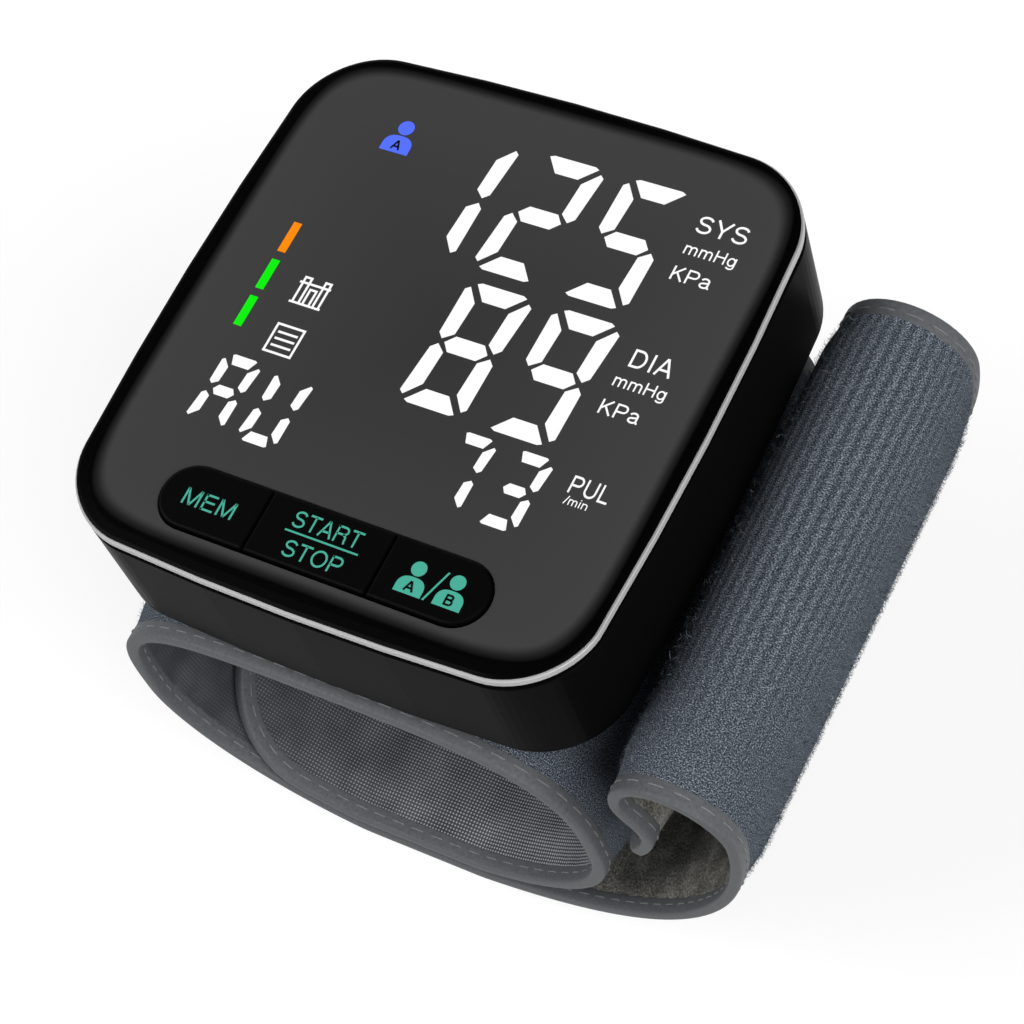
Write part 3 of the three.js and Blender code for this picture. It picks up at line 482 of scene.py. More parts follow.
def on_strip(s, across, off):
    """Points of the strip in metres, at lengths, places across and offsets in millimetres."""
    s, across, off = np.broadcast_arrays(s, across, off)
    at = np.clip(s, 0, END_S)
    x = np.interp(at, LENGTHS, LINE[:, 0])
    z = np.interp(at, LENGTHS, LINE[:, 1])
    nx = np.interp(at, LENGTHS, NORMALS[:, 0])
    nz = np.interp(at, LENGTHS, NORMALS[:, 1])
    size = np.hypot(nx, nz)
    # The roll opens a little towards its back end
    flare = ROLL_FLARE * smooth_step((at - ROLL_S) / 20) * (1.5 + across / HALF_W) / 2.5
    x = x + off * nx / size
    return np.stack([x + flare * (x - ROLL_X), CUFF_Y + across, z + off * nz / size], -1) * MM


def half_width(s, inset):
    """Half width of the cloth at a length, with the round corners of the tail and of the strap's end."""
    half = np.full_like(s, HALF_W - inset)
    for end, corner in ((0.0, TAIL_CORNER), (END_S, STRAP_CORNER)):
        radius = corner - inset
        short = np.clip(radius - (np.abs(s - end) - inset), 0, radius)
        half = half - radius + np.sqrt(np.maximum(radius ** 2 - short ** 2, 0))
    return half


def new_piece(name, points, faces, mat, body, smooth=True, uv=None):
    """Mesh object from points in metres; it rides on a body when one is given."""
    mesh = bpy.data.meshes.new(name)
    mesh.from_pydata([tuple(p) for p in points], [], faces)
    mesh.polygons.foreach_set("use_smooth", [smooth] * len(mesh.polygons))
    if uv is not None:
        layer = mesh.uv_layers.new(name="cloth")
        corner = np.zeros(len(mesh.loops), np.int32)
        mesh.loops.foreach_get("vertex_index", corner)
        layer.data.foreach_set("uv", np.asarray(uv, np.float32)[corner].ravel())
    mesh.update()
    if smooth:
        mesh.set_sharp_from_angle(angle=math.radians(55))
    piece = bpy.data.objects.new(name, mesh)
    bpy.context.scene.collection.objects.link(piece)
    mesh.materials.append(mat)
    if body:
        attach(piece, body)
    return piece


def grid_faces(rows, cols, base=0, flip=False):
    """Quads between the points of a grid."""
    faces = []
    for r in range(rows - 1):
        for c in range(cols - 1):
            a = base + r * cols + c
            quad = (a, a + 1, a + cols + 1, a + cols)
            faces.append(quad[::-1] if flip else quad)
    return faces


def padded(s, edge):
    """Half thickness of the cloth at a distance from its edge, where sewing presses it down."""
    press = (1 - EDGE_SHARE) * thickness(s) / 2 + 0.05
    return thickness(s) / 2 - press * (1 - smooth_step(edge / EDGE_SLOPE))


def cloth_panel(name, from_s, to_s, side, mat, body):
    """One cloth face of the strip as a thin closed sheet. side is 1 for the outer face, -1 for the inner."""
    inset = PANEL_INSET
    low, high = max(from_s, inset), min(to_s, END_S - inset)
    rows = int((high - low) / 0.9) + 2
    s = np.linspace(low, high, rows)
    if from_s <= 0 or to_s >= END_S:
        bend = np.linspace(0, 1, rows)
        s = low + (high - low) * (bend ** 1.6 if from_s <= 0 else 1 - (1 - bend) ** 1.6)
    cols = 49
    share = np.linspace(-1, 1, cols)
    share = np.sign(share) * (1 - (1 - np.abs(share)) ** 1.35)
    width = half_width(s, inset)
    across = width[:, None] * share[None, :]
    edge = width[:, None] - np.abs(across)
    ends = np.minimum(s if from_s <= 0 else np.inf, END_S - s if to_s >= END_S else np.inf)
    ends = np.broadcast_to(np.asarray(ends)[..., None], across.shape)
    edge = np.minimum(edge, ends - inset * (from_s <= 0))
    pucker = PUCKER * np.sin(2 * math.pi * s / STITCH_PITCH)[:, None] * (1 - smooth_step(edge / 4.0))
    face = padded(s[:, None], edge) + pucker * (side < 0)
    outer = on_strip(s[:, None], across, side * face)
    inner = on_strip(s[:, None], across, side * (face - PANEL_T))
    points = np.concatenate([outer.reshape(-1, 3), inner.reshape(-1, 3)])
    n = rows * cols
    flip = side > 0
    faces = grid_faces(rows, cols, 0, flip) + grid_faces(rows, cols, n, not flip)
    rim = [r * cols for r in range(rows)] + [(rows - 1) * cols + c for c in range(1, cols)]
    rim += [r * cols + cols - 1 for r in range(rows - 2, -1, -1)] + list(range(cols - 2, 0, -1))
    for i, a in enumerate(rim):
        b = rim[(i + 1) % len(rim)]
        quad = (a, b, b + n, a + n)
        faces.append(quad if flip else quad[::-1])
    uv = np.stack([np.broadcast_to(s[:, None], across.shape), across], -1).reshape(-1, 2) * MM
    return new_piece(name, points, faces, mat, body, uv=np.concatenate([uv, uv]))


def run_lengths(line):
    """Length along a run of points."""
    return np.concatenate([[0], np.cumsum(np.hypot(*np.diff(line, axis=0).T))])


def edge_route(from_s, to_s, step=1.0):
    """Edges of the strip between two lengths as runs of (s, across, outward s, outward across)."""
    lower = []
    if from_s <= 0:
        lower += corner_run(0.0, TAIL_CORNER, -1)
        start = TAIL_CORNER
    else:
        start = from_s
    stop = END_S - STRAP_CORNER if to_s >= END_S else to_s
    count = max(int((stop - start) / step), 2)
    for s in np.linspace(start, stop, count + 1):
        lower.append((s, -HALF_W, 0.0, -1.0))
    if to_s >= END_S:
        lower += corner_run(END_S, STRAP_CORNER, 1)
    mirror = [(s, -v, ds, -dv) for s, v, ds, dv in lower]
    if from_s <= 0:
        return [lower[::-1] + end_run(0.0, TAIL_CORNER, -1) + mirror]
    if to_s >= END_S:
        return [lower + end_run(END_S, STRAP_CORNER, 1) + mirror[::-1]]
    return [lower, mirror[::-1]]


def corner_run(end, radius, forward):
    """Rounded corner on the lower edge, in order of rising length."""
    run = []
    for k in range(1, 15):
        angle = k / 15 * math.pi / 2
        along, aside = forward * math.sin(angle), -math.cos(angle)
        run.append((end - forward * radius + radius * along, -HALF_W + radius + radius * aside, along, aside))
    return run[::-1] if forward < 0 else run


def end_run(end, radius, forward):
    """Straight end edge between the two corners."""
    reach = HALF_W - radius
    return [(end, v, float(forward), 0.0) for v in np.linspace(-reach, reach, int(2 * reach))]


def tape_profile():
    """Section of the folded tape: depth from the edge and share of the half thickness."""
    outside = [(-TAPE_FACE, 0.72), (-TAPE_FACE + 0.12, 0.9), (-TAPE_FACE + 0.45, 0.98)]
    for k in range(0, 13):
        angle = math.pi / 2 - k / 12 * math.pi
        c, s = abs(math.cos(angle)) ** 0.6, math.copysign(abs(math.sin(angle)) ** 0.6, math.sin(angle))
        outside.append((-TAPE_ROUND + TAPE_ROUND * c, s))
    outside += [(d, -n) for d, n in outside[2::-1]]
    return outside


def binding(name, from_s, to_s, mat, body):
    """Tape folded over the edges: rounded outside, hollow inside, pulled in a little at each stitch."""
    profile = tape_profile()
    loop = profile + [(d * 0.82 - 0.36, n * 0.55) for d, n in profile[::-1]]
    points, faces, uv = [], [], []
    for run in edge_route(from_s, to_s):
        base = len(points)
        run = np.array(run)
        travel = run_lengths(run[:, :2])
        half = EDGE_SHARE * thickness(run[:, 0]) / 2
        pull = STITCH_PULL * np.cos(2 * math.pi * travel / STITCH_PITCH)
        for d, n in loop:
            dent = pull * (1 if abs(d + STITCH_IN) < 0.6 and abs(n) > 0.9 else 0)
            place = run[:, :2] + d * run[:, 2:]
            points.append(on_strip(place[:, 0], place[:, 1], n * half - np.sign(n) * np.abs(dent)))
            uv.append(np.stack([travel, np.full_like(travel, d + 3 * n)], -1) * MM)
        count, size = len(run), len(loop)
        base_points = sum(len(p) for p in points[:base])
        ring = np.arange(size * count).reshape(size, count) + base_points
        for k in range(size):
            nxt = (k + 1) % size
            for i in range(count - 1):
                faces.append((ring[k, i], ring[nxt, i], ring[nxt, i + 1], ring[k, i + 1]))
        faces.append(tuple(ring[::-1, 0]))
        faces.append(tuple(ring[:, -1]))
    piece = new_piece(name, np.concatenate(points), [tuple(int(i) for i in f) for f in faces], mat, body,
                      uv=np.concatenate(uv))
    fix_normals(piece)
    return piece


def fix_normals(piece):
    """Turns every face outwards."""
    work = bmesh.new()
    work.from_mesh(piece.data)
    bmesh.ops.recalc_face_normals(work, faces=work.faces)
    work.to_mesh(piece.data)
    work.free()


def stitches(name, from_s, to_s, mat, body):
    """Lock stitches along the tape on both faces, each a short bowed thread."""
    points, faces = [], []
    sides = 6
    for run in edge_route(from_s, to_s, 0.5):
        run = np.array(run)
        line = run[:, :2] - STITCH_IN * run[:, 2:]
        travel = run_lengths(line)
        count = int(travel[-1] / STITCH_PITCH)
        for i in range(count):
            middle = (i + 0.5) * STITCH_PITCH
            along = middle + np.linspace(-0.5, 0.5, 6) * STITCH_LEN
            s, v = np.interp(along, travel, line[:, 0]), np.interp(along, travel, line[:, 1])
            half = EDGE_SHARE * thickness(s) / 2
            bow = np.array([-0.2, 0.0, 0.05, 0.05, 0.0, -0.2])
            for side in (1, -1):
                centre = on_strip(s, v, side * (half + bow))
                above = on_strip(s, v, side * (half + bow + 1))
                thread(points, faces, centre, above - centre, sides)
    piece = new_piece(name, points, faces, mat, body)
    fix_normals(piece)
    return piece


def thread(points, faces, centre, up, sides):
    """Adds one stitch, a closed tube along its centre line."""
    base = len(points)
    along = np.gradient(centre, axis=0)
    aside = np.cross(along, up)
    aside /= np.linalg.norm(aside, axis=1, keepdims=True)
    up = up / np.linalg.norm(up, axis=1, keepdims=True)
    for k in range(len(centre)):
        taper = STITCH_R * MM * (0.7 if k in (0, len(centre) - 1) else 1.0)
        for j in range(sides):
            turn = 2 * math.pi * j / sides
            points.append(centre[k] + taper * (math.cos(turn) * aside[k] + math.sin(turn) * up[k]))
    for k in range(len(centre) - 1):
        for j in range(sides):
            a, b = base + k * sides + j, base + k * sides + (j + 1) % sides
            faces.append((a, b, b + sides, a + sides))
    faces.append(tuple(base + j for j in range(sides))[::-1])
    last = base + (len(centre) - 1) * sides
    faces.append(tuple(last + j for j in range(sides)))


def pile_fibres(name, from_s, to_s, count, seed, mat, body):
    """Loose fibres standing out of the brushed face, seen along its outline."""
    draw = np.random.default_rng(seed)
    s = draw.uniform(from_s, to_s, count)
    width = half_width(s, TAPE_FACE)
    v = draw.uniform(-1, 1, count) * (width - 0.3)
    reach = draw.uniform(*FIBRE_REACH, count)
    face = padded(s, width - np.abs(v))
    lean = draw.normal(0, 0.45, (count, 2)) * reach[:, None]
    bend = lean + draw.normal(0, 0.4, (count, 2)) * reach[:, None]
    root = on_strip(s, v, face - 0.05)
    mid = on_strip(s + lean[:, 0], v + lean[:, 1], face + reach * 0.6)
    tip = on_strip(s + lean[:, 0] + bend[:, 0], v + lean[:, 1] + bend[:, 1], face + reach)
    wide = draw.normal(0, 1, (count, 3))
    wide = wide / np.linalg.norm(wide, axis=1, keepdims=True) * FIBRE_R * MM
    # Under the cuff the fibres are pressed flat by the table
    free = np.minimum(mid[:, 2], tip[:, 2]) > FIBRE_CLEAR * MM
    blades = np.stack([root - wide, root + wide, mid - wide * 0.8, mid + wide * 0.8, tip], 1)
    points = blades[free].reshape(-1, 3)
    faces = []
    for b in range(0, len(points), 5):
        faces += [(b, b + 1, b + 3, b + 2), (b + 2, b + 3, b + 4)]
    uv = np.repeat(np.stack([s, v], -1)[free], 5, axis=0) * MM
    return new_piece(name, points, faces, mat, body, uv=uv)


# Front graphics

def flat_piece(name, polygons, z, mat, body, rise=0.02):
    """Thin plates from outlines in millimetres, lying on a face."""
    points, faces = [], []
    for outline in polygons:
        n, base = len(outline), len(points)
        for top in (0, rise):
            points += [(x * MM, y * MM, (z + PRINT_LIFT + top) * MM) for x, y in outline]
        faces.append(tuple(range(base + n, base + 2 * n)))
        faces.append(tuple(range(base, base + n))[::-1])
        faces += [(base + i, base + (i + 1) % n, base + n + (i + 1) % n, base + n + i) for i in range(n)]
    return new_piece(name, points, faces, mat, body, smooth=False)


def seven_segment(left, base, width, height, bar, lit_parts, taper, fill=1.0):
    """Outlines of the lit bars of one leaning digit; parts are named a to g in the usual order.

    taper is where the level bars' inner corners lie, in bar widths; fill shortens every bar.
    """
    gap = bar * 0.17
    mid = height / 2
    w, h, t, g = width, height, bar, gap
    side = [(w, h - 0.3 * t - g), (w - 0.25 * t, h - 0.1 * t - g), (w - t, h - t - g),
            (w - t, mid + 0.62 * t), (w - 0.45 * t, mid + g), (w - 0.12 * t, mid + 0.5 * t)]
    across = [(0.35 * t + g, h), (0.6 * t + g, h + 0.12 * t),
              (w - 0.6 * t - g, h + 0.12 * t), (w - 0.35 * t - g, h),
              (w - taper * t, h - t + 0.3 * g), (taper * t, h - t + 0.3 * g)]
    middle = [(0.55 * t + g, mid), (t + g, mid + 0.52 * t), (w - t - g, mid + 0.52 * t),
              (w - 0.55 * t - g, mid), (w - t - g, mid - 0.52 * t), (t + g, mid - 0.52 * t)]
    shapes = {
        "a": across,
        "b": side,
        "c": [(x, h - y) for x, y in side],
        "d": [(x, h - y) for x, y in across],
        "e": [(w - x, h - y) for x, y in side],
        "f": [(w - x, y) for x, y in side],
        "g": middle,
    }
    lean = 0.06
    outlines = []
    for part in lit_parts:
        shape = np.array(shapes[part])
        centre = shape.mean(axis=0)
        shape = centre + (shape - centre) * ([fill, 1.0] if part in "adg" else [1.0, fill])
        shape = [(left + x + lean * (y - mid), base + y) for x, y in shape]
        area = sum(a[0] * b[1] - b[0] * a[1] for a, b in zip(shape, shape[1:] + shape[:1]))
        outlines.append(shape if area > 0 else shape[::-1])
    return outlines


def bar_shape(x0, y0, x1, y1):
    """Outline of an upright rectangle."""
    return [(x0, y0), (x1, y0), (x1, y1), (x0, y1)]


def disc(x, y, radius, steps=28):
    """Outline of a disc."""
    return [(x + radius * math.cos(a), y + radius * math.sin(a))
            for a in np.linspace(0, 2 * math.pi, steps, endpoint=False)]


def user_figure(x, base, size):
    """User pictogram: round head over a domed bust."""
    head = disc(x, base + 3.45 * size, 0.98 * size)
    dome = [(x + 1.82 * size * math.copysign(abs(math.cos(a)) ** 0.7, math.cos(a)), base + 0.95 * size
             + 1.35 * size * math.sin(a)) for a in np.linspace(0, math.pi, 20)]
    bust = [(x - 1.82 * size, base), (x + 1.82 * size, base)] + dome
    return [head, bust]


def arc(x, y, wide, high, start, end, steps=14):
    """Points of an elliptic arc between two angles in degrees."""
    turn = np.radians(np.linspace(start, end, steps + 1))
    return list(zip(x + wide * np.cos(turn), y + high * np.sin(turn)))


# Plain grotesque letters as strokes of one width: advance, then centre lines, with the capital height as 1
STROKE = 0.125
LETTER_GAP = 0.05
LETTERS = {
    "/": (0.39, [[(0.02, -0.02), (0.37, 1.02)]]),
    "A": (0.93, [[(0.06, 0), (0.46, 0.99)], [(0.87, 0), (0.47, 0.99)], [(0.22, 0.33), (0.71, 0.33)]]),
    "B": (0.93, [[(0.15, 0), (0.15, 1)],
                 [(0.1, 0.94), (0.5, 0.94), *arc(0.52, 0.74, 0.24, 0.2, 90, -90), (0.1, 0.54)],
                 [(0.1, 0.54), (0.52, 0.54), *arc(0.54, 0.3, 0.28, 0.24, 90, -90), (0.1, 0.06)]]),
    "D": (1.0, [[(0.15, 0), (0.15, 1)],
                [(0.1, 0.94), (0.46, 0.94), *arc(0.48, 0.5, 0.38, 0.44, 90, -90), (0.1, 0.06)]]),
    "E": (0.93, [[(0.15, 0), (0.15, 1)], [(0.1, 0.94), (0.84, 0.94)], [(0.1, 0.53), (0.8, 0.53)],
                 [(0.1, 0.06), (0.86, 0.06)]]),
    "H": (1.0, [[(0.15, 0), (0.15, 1)], [(0.85, 0), (0.85, 1)], [(0.15, 0.53), (0.85, 0.53)]]),
    "I": (0.39, [[(0.19, 0), (0.19, 1)]]),
    "K": (0.93, [[(0.15, 0), (0.15, 1)], [(0.15, 0.36), (0.8, 1)], [(0.4, 0.58), (0.86, 0)]]),
    "L": (0.78, [[(0.14, 0), (0.14, 1)], [(0.1, 0.06), (0.74, 0.06)]]),
    "M": (1.16, [[(0.14, 0), (0.14, 1)], [(1.02, 0), (1.02, 1)],
                 [(0.17, 1), (0.57, 0.02)], [(0.99, 1), (0.59, 0.02)]]),
    "O": (1.08, [arc(0.54, 0.5, 0.44, 0.45, 0, 360, 32)]),
    "P": (0.93, [[(0.15, 0), (0.15, 1)],
                 [(0.1, 0.94), (0.54, 0.94), *arc(0.56, 0.7, 0.26, 0.24, 90, -90), (0.15, 0.46)]]),
    "R": (1.0, [[(0.15, 0), (0.15, 1)],
                [(0.1, 0.94), (0.56, 0.94), *arc(0.58, 0.73, 0.26, 0.21, 90, -90), (0.15, 0.52)],
                [(0.58, 0.52), *arc(0.6, 0.3, 0.22, 0.2, 80, 0), (0.83, 0.12), (0.88, 0)]]),
    "S": (0.93, [[*arc(0.46, 0.73, 0.32, 0.21, 15, 250), *arc(0.46, 0.29, 0.35, 0.23, 75, -168)]]),
    "T": (0.85, [[(0.03, 0.94), (0.82, 0.94)], [(0.425, 0), (0.425, 0.94)]]),
    "U": (1.0, [[(0.15, 1), *arc(0.5, 0.36, 0.35, 0.3, 180, 360), (0.85, 1)]]),
    "Y": (0.93, [[(0.06, 1), (0.47, 0.4)], [(0.87, 1), (0.46, 0.4)], [(0.465, 0), (0.465, 0.44)]]),
    "a": (0.78, [[*arc(0.37, 0.5, 0.24, 0.18, 165, 0), (0.61, 0.16), (0.66, 0.05), (0.74, 0.05)],
                 [(0.61, 0.42), *arc(0.36, 0.2, 0.25, 0.16, 90, 340), (0.61, 0.26)]]),
    "g": (0.78, [arc(0.36, 0.37, 0.26, 0.31, 0, 360, 24),
                 [(0.64, 0.73), *arc(0.38, -0.04, 0.26, 0.17, 0, -160)]]),
    "i": (0.31, [[(0.155, 0), (0.155, 0.73)], [(0.155, 0.88), (0.155, 1)]]),
    "m": (1.16, [[(0.14, 0), (0.14, 0.73)], [(0.14, 0.4), *arc(0.36, 0.48, 0.22, 0.19, 170, 0), (0.58, 0)],
                 [(0.58, 0.4), *arc(0.8, 0.48, 0.22, 0.19, 170, 0), (1.02, 0)]]),
    "n": (0.78, [[(0.13, 0), (0.13, 0.73)], [(0.13, 0.4), *arc(0.39, 0.46, 0.25, 0.21, 170, 0), (0.64, 0)]]),
}


def legend(name, text, left, base, width, cap, z, mat, body, stroke_w=STROKE):
    """A word set to a width and a capital height in millimetres, each stroke a flat ribbon."""
    points, faces, place = [], [], 0.0
    for letter in text:
        advance, strokes = LETTERS[letter]
        for stroke in strokes:
            line = np.array(stroke) + [place, 0.0]
            side = right_of(line[np.clip(np.arange(len(line)) - 1, 0, None)],
                            line[np.clip(np.arange(len(line)) + 1, None, len(line) - 1)]) * stroke_w / 2
            start = len(points)
            points += [p for pair in zip(line - side, line + side) for p in pair]
            faces += [(k, k + 1, k + 3, k + 2) for k in range(start, start + 2 * len(line) - 2, 2)]
        place += advance + LETTER_GAP
    points = np.array(points)
    x = left + (points[:, 0] - points[:, 0].min()) * width / np.ptp(points[:, 0])
    y = base + points[:, 1] * cap
    flat = np.stack([x, y, np.full_like(x, z + 1.6 * PRINT_LIFT)], -1) * MM
    return new_piece(name, flat, [face[::-1] for face in faces], mat, body, smooth=False)


def display_graphics(white, blue, orange, green, ink):
    """Digits, level bars, icons and names of the readings, where the photo shows them."""
    row_h, cell_w, bar = 16.8, 8.8, 2.15
    digits = []
    for text_parts, left, base in (
            ("bc", -12.15, 11.4), ("abged", -0.71, 11.4), ("afgcd", 10.72, 11.4),
            ("abcdefg", -0.71, -7.7), ("abcdfg", 10.72, -7.7)):
        digits += seven_segment(left, base, cell_w, row_h, bar, text_parts, taper=1.34)
    small_w, small_h, small_bar = 5.3, 9.65, 1.3
    for text_parts, left in (("abc", 7.75), ("abcdg", 15.0), ("abcefg", -23.86), ("bcdef", -16.57)):
        digits += seven_segment(left, -18.9, small_w, small_h, small_bar, text_parts, taper=1.0, fill=0.84)
    made = [flat_piece("display_digits", digits, LENS_Z, white, "case")]
    made.append(flat_piece("level_bar_high", [bar_shape(-24.87, 5.5, -23.75, 9.86)], LENS_Z, orange, "case"))
    normal = [bar_shape(-24.87, 0.0, -23.75, 4.29), bar_shape(-24.87, -5.43, -23.75, -1.14)]
    made.append(flat_piece("level_bars_normal", normal, LENS_Z, green, "case"))
    made.append(flat_piece("user_icon", user_figure(-18.1, 22.8, 1.07), LENS_Z, blue, "case"))
    line = 0.145
    strokes = [bar_shape(-19.93, y, -15.65, y + 2 * line) for y in (-0.45, 2.4)]
    for x, low, high in ((-19.5, 0, 3.45), (-18.65, 0, 3.45), (-18.1, 0, 2.0), (-17.25, 0, 2.0),
                         (-16.7, 0, 3.45), (-15.95, 0, 3.45)):
        strokes.append(bar_shape(x - line, low - 0.15, x + line, high))
    for x0, x1, y in ((-19.5, -18.65, 3.45), (-18.1, -17.25, 2.0), (-16.7, -15.95, 3.45)):
        strokes.append(bar_shape(x0 - line, y - 2 * line, x1 + line, y))
    made.append(flat_piece("trend_icon", strokes, LENS_Z, white, "case"))
    x0, y0, x1, y1 = -19.65, -7.5, -15.7, -3.4
    page = [bar_shape(x0, y0, x1, y0 + 2 * line), bar_shape(x0, y1 - 2 * line, x1, y1),
            bar_shape(x0, y0, x0 + 2 * line, y1), bar_shape(x1 - 2 * line, y0, x1, y1)]
    page += [bar_shape(-19.0, y - line, -16.3, y + line) for y in (-4.55, -5.45, -6.4)]
    made.append(flat_piece("record_icon", page, LENS_Z, white, "case"))
    for name, text, left, base, width, cap in (
            ("label_sys", "SYS", 21.95, 23.8, 6.4, 2.4),
            ("label_sys_unit", "mmHg", 21.95, 20.7, 6.5, 1.62),
            ("label_sys_kpa", "KPa", 21.95, 17.0, 4.95, 1.9),
            ("label_dia", "DIA", 22.6, 4.8, 5.2, 2.4),
            ("label_dia_unit", "mmHg", 21.95, 1.95, 6.5, 1.62),
            ("label_dia_kpa", "KPa", 21.95, -1.85, 4.95, 1.9),
            ("label_pul", "PUL", 23.3, -12.2, 4.85, 2.25),
            ("label_pul_unit", "/min", 23.45, -13.62, 2.9, 1.05)):
        made.append(legend(name, text, left, base, width, cap, LENS_Z, white, "case"))
    made.append(legend("user_icon_letter", "A", -18.75, 23.2, 1.3, 1.35, LENS_Z + 0.03, ink, "case", 0.2))
    return made


def key_graphics(teal, ink):
    """Words and user figures on the three keys."""
    made = [legend("legend_mem", "MEM", -18.26, -28.97, 6.75, 2.12, KEY_Z, teal, "mem_button")]
    made.append(legend("legend_start", "START", -4.41, -27.12, 8.85, 2.12, KEY_Z, teal, "start_stop_button"))
    made.append(legend("legend_stop", "STOP", -3.76, -30.77, 7.55, 2.12, KEY_Z, teal, "start_stop_button"))
    rule = [bar_shape(-4.76, -27.82, 4.84, -27.59)]
    made.append(flat_piece("legend_rule", rule, KEY_Z, teal, "start_stop_button"))
    figures = user_figure(12.29, -30.07, 0.95) + user_figure(17.24, -30.07, 0.95)
    figures.append([(14.24, -30.07), (14.49, -30.07), (15.89, -26.02), (15.64, -26.02)])
    made.append(flat_piece("legend_users", figures, KEY_Z, teal, "user_button"))
    made.append(legend("legend_user_a", "A", 11.64, -29.72, 1.3, 1.3, KEY_Z + 0.03, ink, "user_button", 0.2))
    made.append(legend("legend_user_b", "B", 16.74, -29.72, 1.1, 1.3, KEY_Z + 0.03, ink, "user_button", 0.2))
    return made


# Finishes on the CAD pieces

def dress_cad(finishes):
    """Gives each CAD node that stays its finish, smooth curves and crisp edges."""
    for node, mat in finishes.items():
        piece = frame["nodes"][node]
        piece.data.materials.clear()
        piece.data.materials.append(mat)
        piece.data.polygons.foreach_set("use_smooth", [True] * len(piece.data.polygons))
        crisp = piece.modifiers.new("crisp_edges", "EDGE_SPLIT")
        crisp.split_angle = math.radians(28)
        piece.modifiers.new("flat_faces_lead", "WEIGHTED_NORMAL")


# Stage

def light_and_camera():
    """Pale studio, two softboxes, white card and the photo's camera."""
    scene = bpy.context.scene
    scene.view_settings.view_transform = "Standard"
    studio = bpy.data.worlds.new("studio")
    scene.world = studio
    studio.use_nodes = True
    tree = studio.node_tree
    tree.nodes.clear()
    look = put(tree, "ShaderNodeTexCoord")
    height = put(tree, "ShaderNodeSeparateXYZ", {"Vector": look.outputs["Generated"]})
    walls = put(tree, "ShaderNodeValToRGB", {"Fac": height.outputs["Z"]}, stops=(
        (0.16, "#ffffff"), (0.4, "#616161")))
    level = put(tree, "ShaderNodeMapRange", {"Value": seen_share(tree), "To Min": SKY_LEVEL, "To Max": 1.0})
    sky = put(tree, "ShaderNodeBackground", {
        "Color": walls.outputs["Color"], "Strength": level.outputs["Result"]})
    put(tree, "ShaderNodeOutputWorld", {"Surface": sky.outputs["Background"]})
    for name, energy, spread, place in (("left_softbox", 1.62, 45, (-0.62, -0.31, 0.72)),
                                        ("right_softbox", 2.6, 45, (0.72, -0.25, 0.65))):
        sun = bpy.data.lights.new(name, "SUN")
        sun.energy = energy
        sun.angle = math.radians(spread)
        lamp = bpy.data.objects.new(name, sun)
        lamp.rotation_euler = Vector(place).to_track_quat("Z", "Y").to_euler()
        scene.collection.objects.link(lamp)
    floor = new_piece("floor", [(-3, -3, 0), (3, -3, 0), (3, 3, 0), (-3, 3, 0)], [(0, 1, 2, 3)],
                      white_card(), None, smooth=False)
    floor.location.z = -CARD_DROP * MM
    camera = bpy.data.cameras.new("camera")
    camera.lens = CAMERA_LENS
    camera.sensor_width = 36.0
    camera.clip_start = 0.01
    view = bpy.data.objects.new("camera", camera)
    spin = Vector(CAMERA_TURN)
    turn = Matrix.Rotation(spin.length, 3, spin.normalized())
    axes = Matrix((turn[0], -turn[1], -turn[2])).transposed()
    view.matrix_world = Matrix.Translation(CAMERA_PLACE) @ axes.to_4x4()
    scene.collection.objects.link(view)
    scene.camera = view


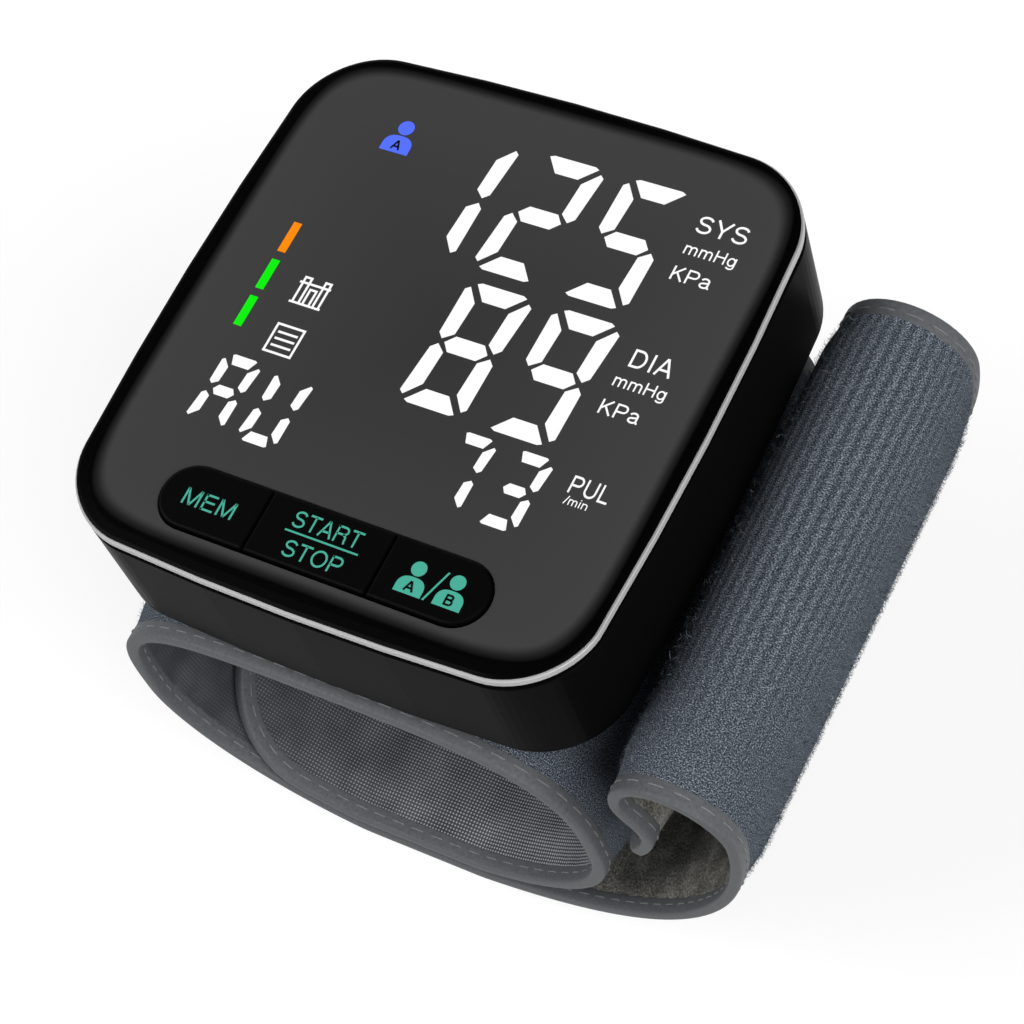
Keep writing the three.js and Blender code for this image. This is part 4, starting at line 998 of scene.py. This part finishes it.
def build_cuff():
    """Cloth panels, tape and stitches of the cuff, of the fold between cuff and strap, and of the strap."""
    cover, lining, felt = loop_fabric(), woven_lining(), hook_felt()
    tape, sewing = binding_tape(), sewing_thread()
    fold_start, fold_end = FOLD_S - FOLD_REACH, FOLD_S + FOLD_REACH
    felt_s = FOLD_S + FELT_FROM
    parts = []
    for label, low, high, body in (("cuff", 0.0, fold_start, "case"), ("fold", fold_start, fold_end, None),
                                   ("strap", fold_end, END_S, "strap")):
        outer = cloth_panel(f"{label}_loop_fabric", low, high, 1, cover, body)
        if label == "strap":
            inners = [cloth_panel("strap_lining_start", low, felt_s, -1, lining, body),
                      cloth_panel("strap_hook_felt", felt_s, high, -1, felt, body)]
        else:
            inners = [cloth_panel(f"{label}_nylon_lining", low, high, -1, lining, body)]
        edge = binding(f"{label}_binding_tape", low, high, tape, body)
        seam = stitches(f"{label}_stitches", low, high, sewing, body)
        parts.append((label, low, high, outer, inners, edge, seam))
    fuzz = [pile_fibres("cuff_pile", FIBRES_FROM, fold_start, CUFF_FIBRES, 3, cover, "case"),
            pile_fibres("strap_pile", fold_end, END_S - FIBRES_SHORT, STRAP_FIBRES, 5, cover, "strap")]
    start, end = (on_strip(np.array([s]), 0.0, 0.0)[0] for s in (fold_start, fold_end))
    for label, _, _, outer, inners, edge, seam in parts:
        if label == "fold":
            for piece in [outer, *inners, edge, seam]:
                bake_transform(piece)
    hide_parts("cuff_cover", "cuff_stiffener", "cuff_bladder")
    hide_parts("cuff_lining")
    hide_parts("cuff_binding")
    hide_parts("strap_cover")
    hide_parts("strap_lining")
    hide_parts("strap_binding")


def build_front():
    """Lit display and printed keys."""
    white = lit_segment("white_led_segment", "#ffffff")
    blue = lit_segment("blue_led_segment", "#5571ff")
    orange = lit_segment("orange_led_segment", "#ff8c00")
    green = lit_segment("green_led_segment", "#00f000")
    ink = screen_ink("black_screen_ink", "#0c0c0d")
    teal = screen_ink("teal_screen_ink", "#4bb09a")
    for piece in display_graphics(white, blue, orange, green, ink):
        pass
    for piece in key_graphics(teal, ink):
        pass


def build_finishes():
    """Finishes of the CAD nodes, by the slots of the record."""
    case = moulded_plastic("moulded_black_abs", "#0c0c0d", 0.3, 0.005)
    keys = moulded_plastic("satin_black_keys", "#040404", 0.45, 0.04)
    inner = moulded_plastic("moulded_inner_plastic", "#2b2b2f", 0.6, 0.4)
    resist = moulded_plastic("green_solder_resist", "#205c38", 0.45, 0.5)
    wrap = moulded_plastic("printed_cell_wrap", "#888b90", 0.35, 0.5)
    tube = moulded_plastic("silicone_tube", "#c5c2b9", 0.6, 0.4)
    silver = moulded_plastic("silver_lacquered_trim", "#bcbcbc", 0.4, 0.5)
    steel = satin_metal("nickel_plated_steel", "#b4b5b4", 0.32)
    lens = polished_lens()
    slots = {"lens_gloss": lens, "case_black": case, "key_black": keys, "trim_silver": silver,
             "inner_plastic": inner, "board": resist, "steel": steel, "cell_wrap": wrap, "silicone": tube}
    finishes = {}
    for part in frame["record"]["subparts"]:
        if part["material_slot"] in slots:
            finishes[part["node"]] = slots[part["material_slot"]]
    dress_cad(finishes)


light_and_camera()
build_finishes()
build_front()
build_cuff()
bpy.context.view_layer.update()
